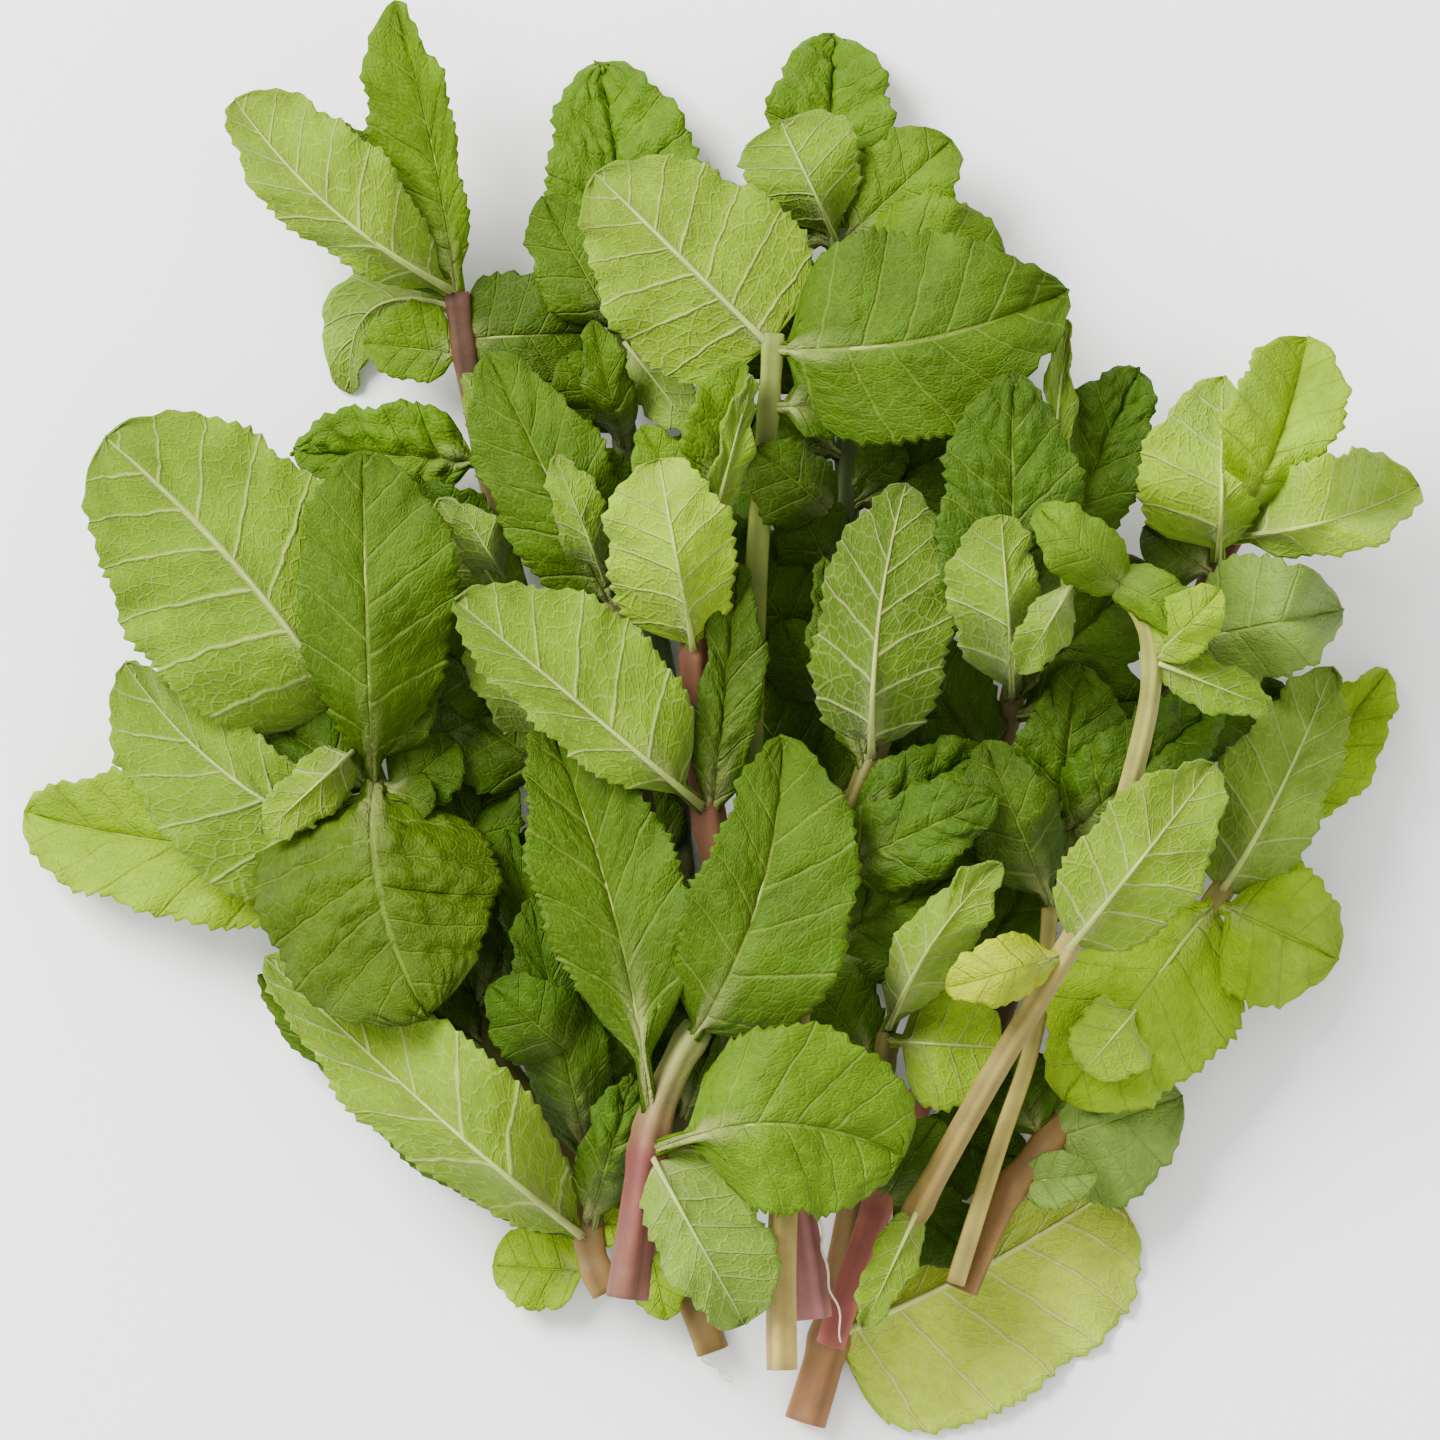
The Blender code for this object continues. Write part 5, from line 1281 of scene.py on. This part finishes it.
def grow_sprig(owner, item):
    """Build the piece for one leafy stem and hand it to the frame."""
    sheet = bmesh.new()
    layers = {"face": sheet.verts.layers.float_color.new("face"),
              "back": sheet.verts.layers.float_color.new("back"),
              "veins": sheet.loops.layers.uv.new("veins"),
              "blade": sheet.loops.layers.uv.new("blade")}
    for count, spec in enumerate(item["leaves"]):
        draws = np.random.default_rng((SEED, owner, count, 1))
        place = np.argmin(np.linalg.norm(item["line"] - spec["base"], axis=1))
        spec["flush"] = (stem_tint(item, place) + 3 * np.array(linear(HEEL_HEX))) / 4
        add_blade(sheet, layers, spec, draws)
    bmesh.ops.remove_doubles(sheet, verts=sheet.verts, dist=WELD)
    bmesh.ops.scale(sheet, vec=(MM, MM, MM), verts=sheet.verts)
    materials = [leaf_face, leaf_back, stem_skin, stem_pith]
    blades = new_object(item["name"] + "_blades", sheet, materials)
    thicken = blades.modifiers.new("Thicken", "SOLIDIFY")
    thicken.thickness = SHEET * MM
    thicken.offset = 0
    thicken.use_even_offset = False
    shape = blades.evaluated_get(bpy.context.evaluated_depsgraph_get())
    solid = bmesh.new()
    solid.from_mesh(shape.to_mesh())
    bpy.data.objects.remove(blades)
    turn_backs(solid)
    stem = add_stem(item)
    layer = stem.verts.layers.float_color["stem"]
    tubes = bmesh.new()
    tube_layer = tubes.verts.layers.float_color.new("stem")
    for spec in item["leaves"]:
        add_stalk(tubes, spec, tube_layer)
    for points in item["threads"]:
        add_thread(tubes, item, points, tube_layer)
    for face in tubes.faces:
        face.material_index = SKIN
        face.smooth = True
    bmesh.ops.recalc_face_normals(tubes, faces=tubes.faces)
    for part in (stem, tubes):
        bmesh.ops.scale(part, vec=(MM, MM, MM), verts=part.verts)
        carrier = bpy.data.meshes.new("carrier")
        part.to_mesh(carrier)
        part.free()
        solid.from_mesh(carrier)
        bpy.data.meshes.remove(carrier)
    piece = new_object(item["name"] + "_fresh", solid, materials)
    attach(piece, "root")
    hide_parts(item["name"])


for number, sprig_item in enumerate(SPRIGS):
    grow_sprig(number, sprig_item)
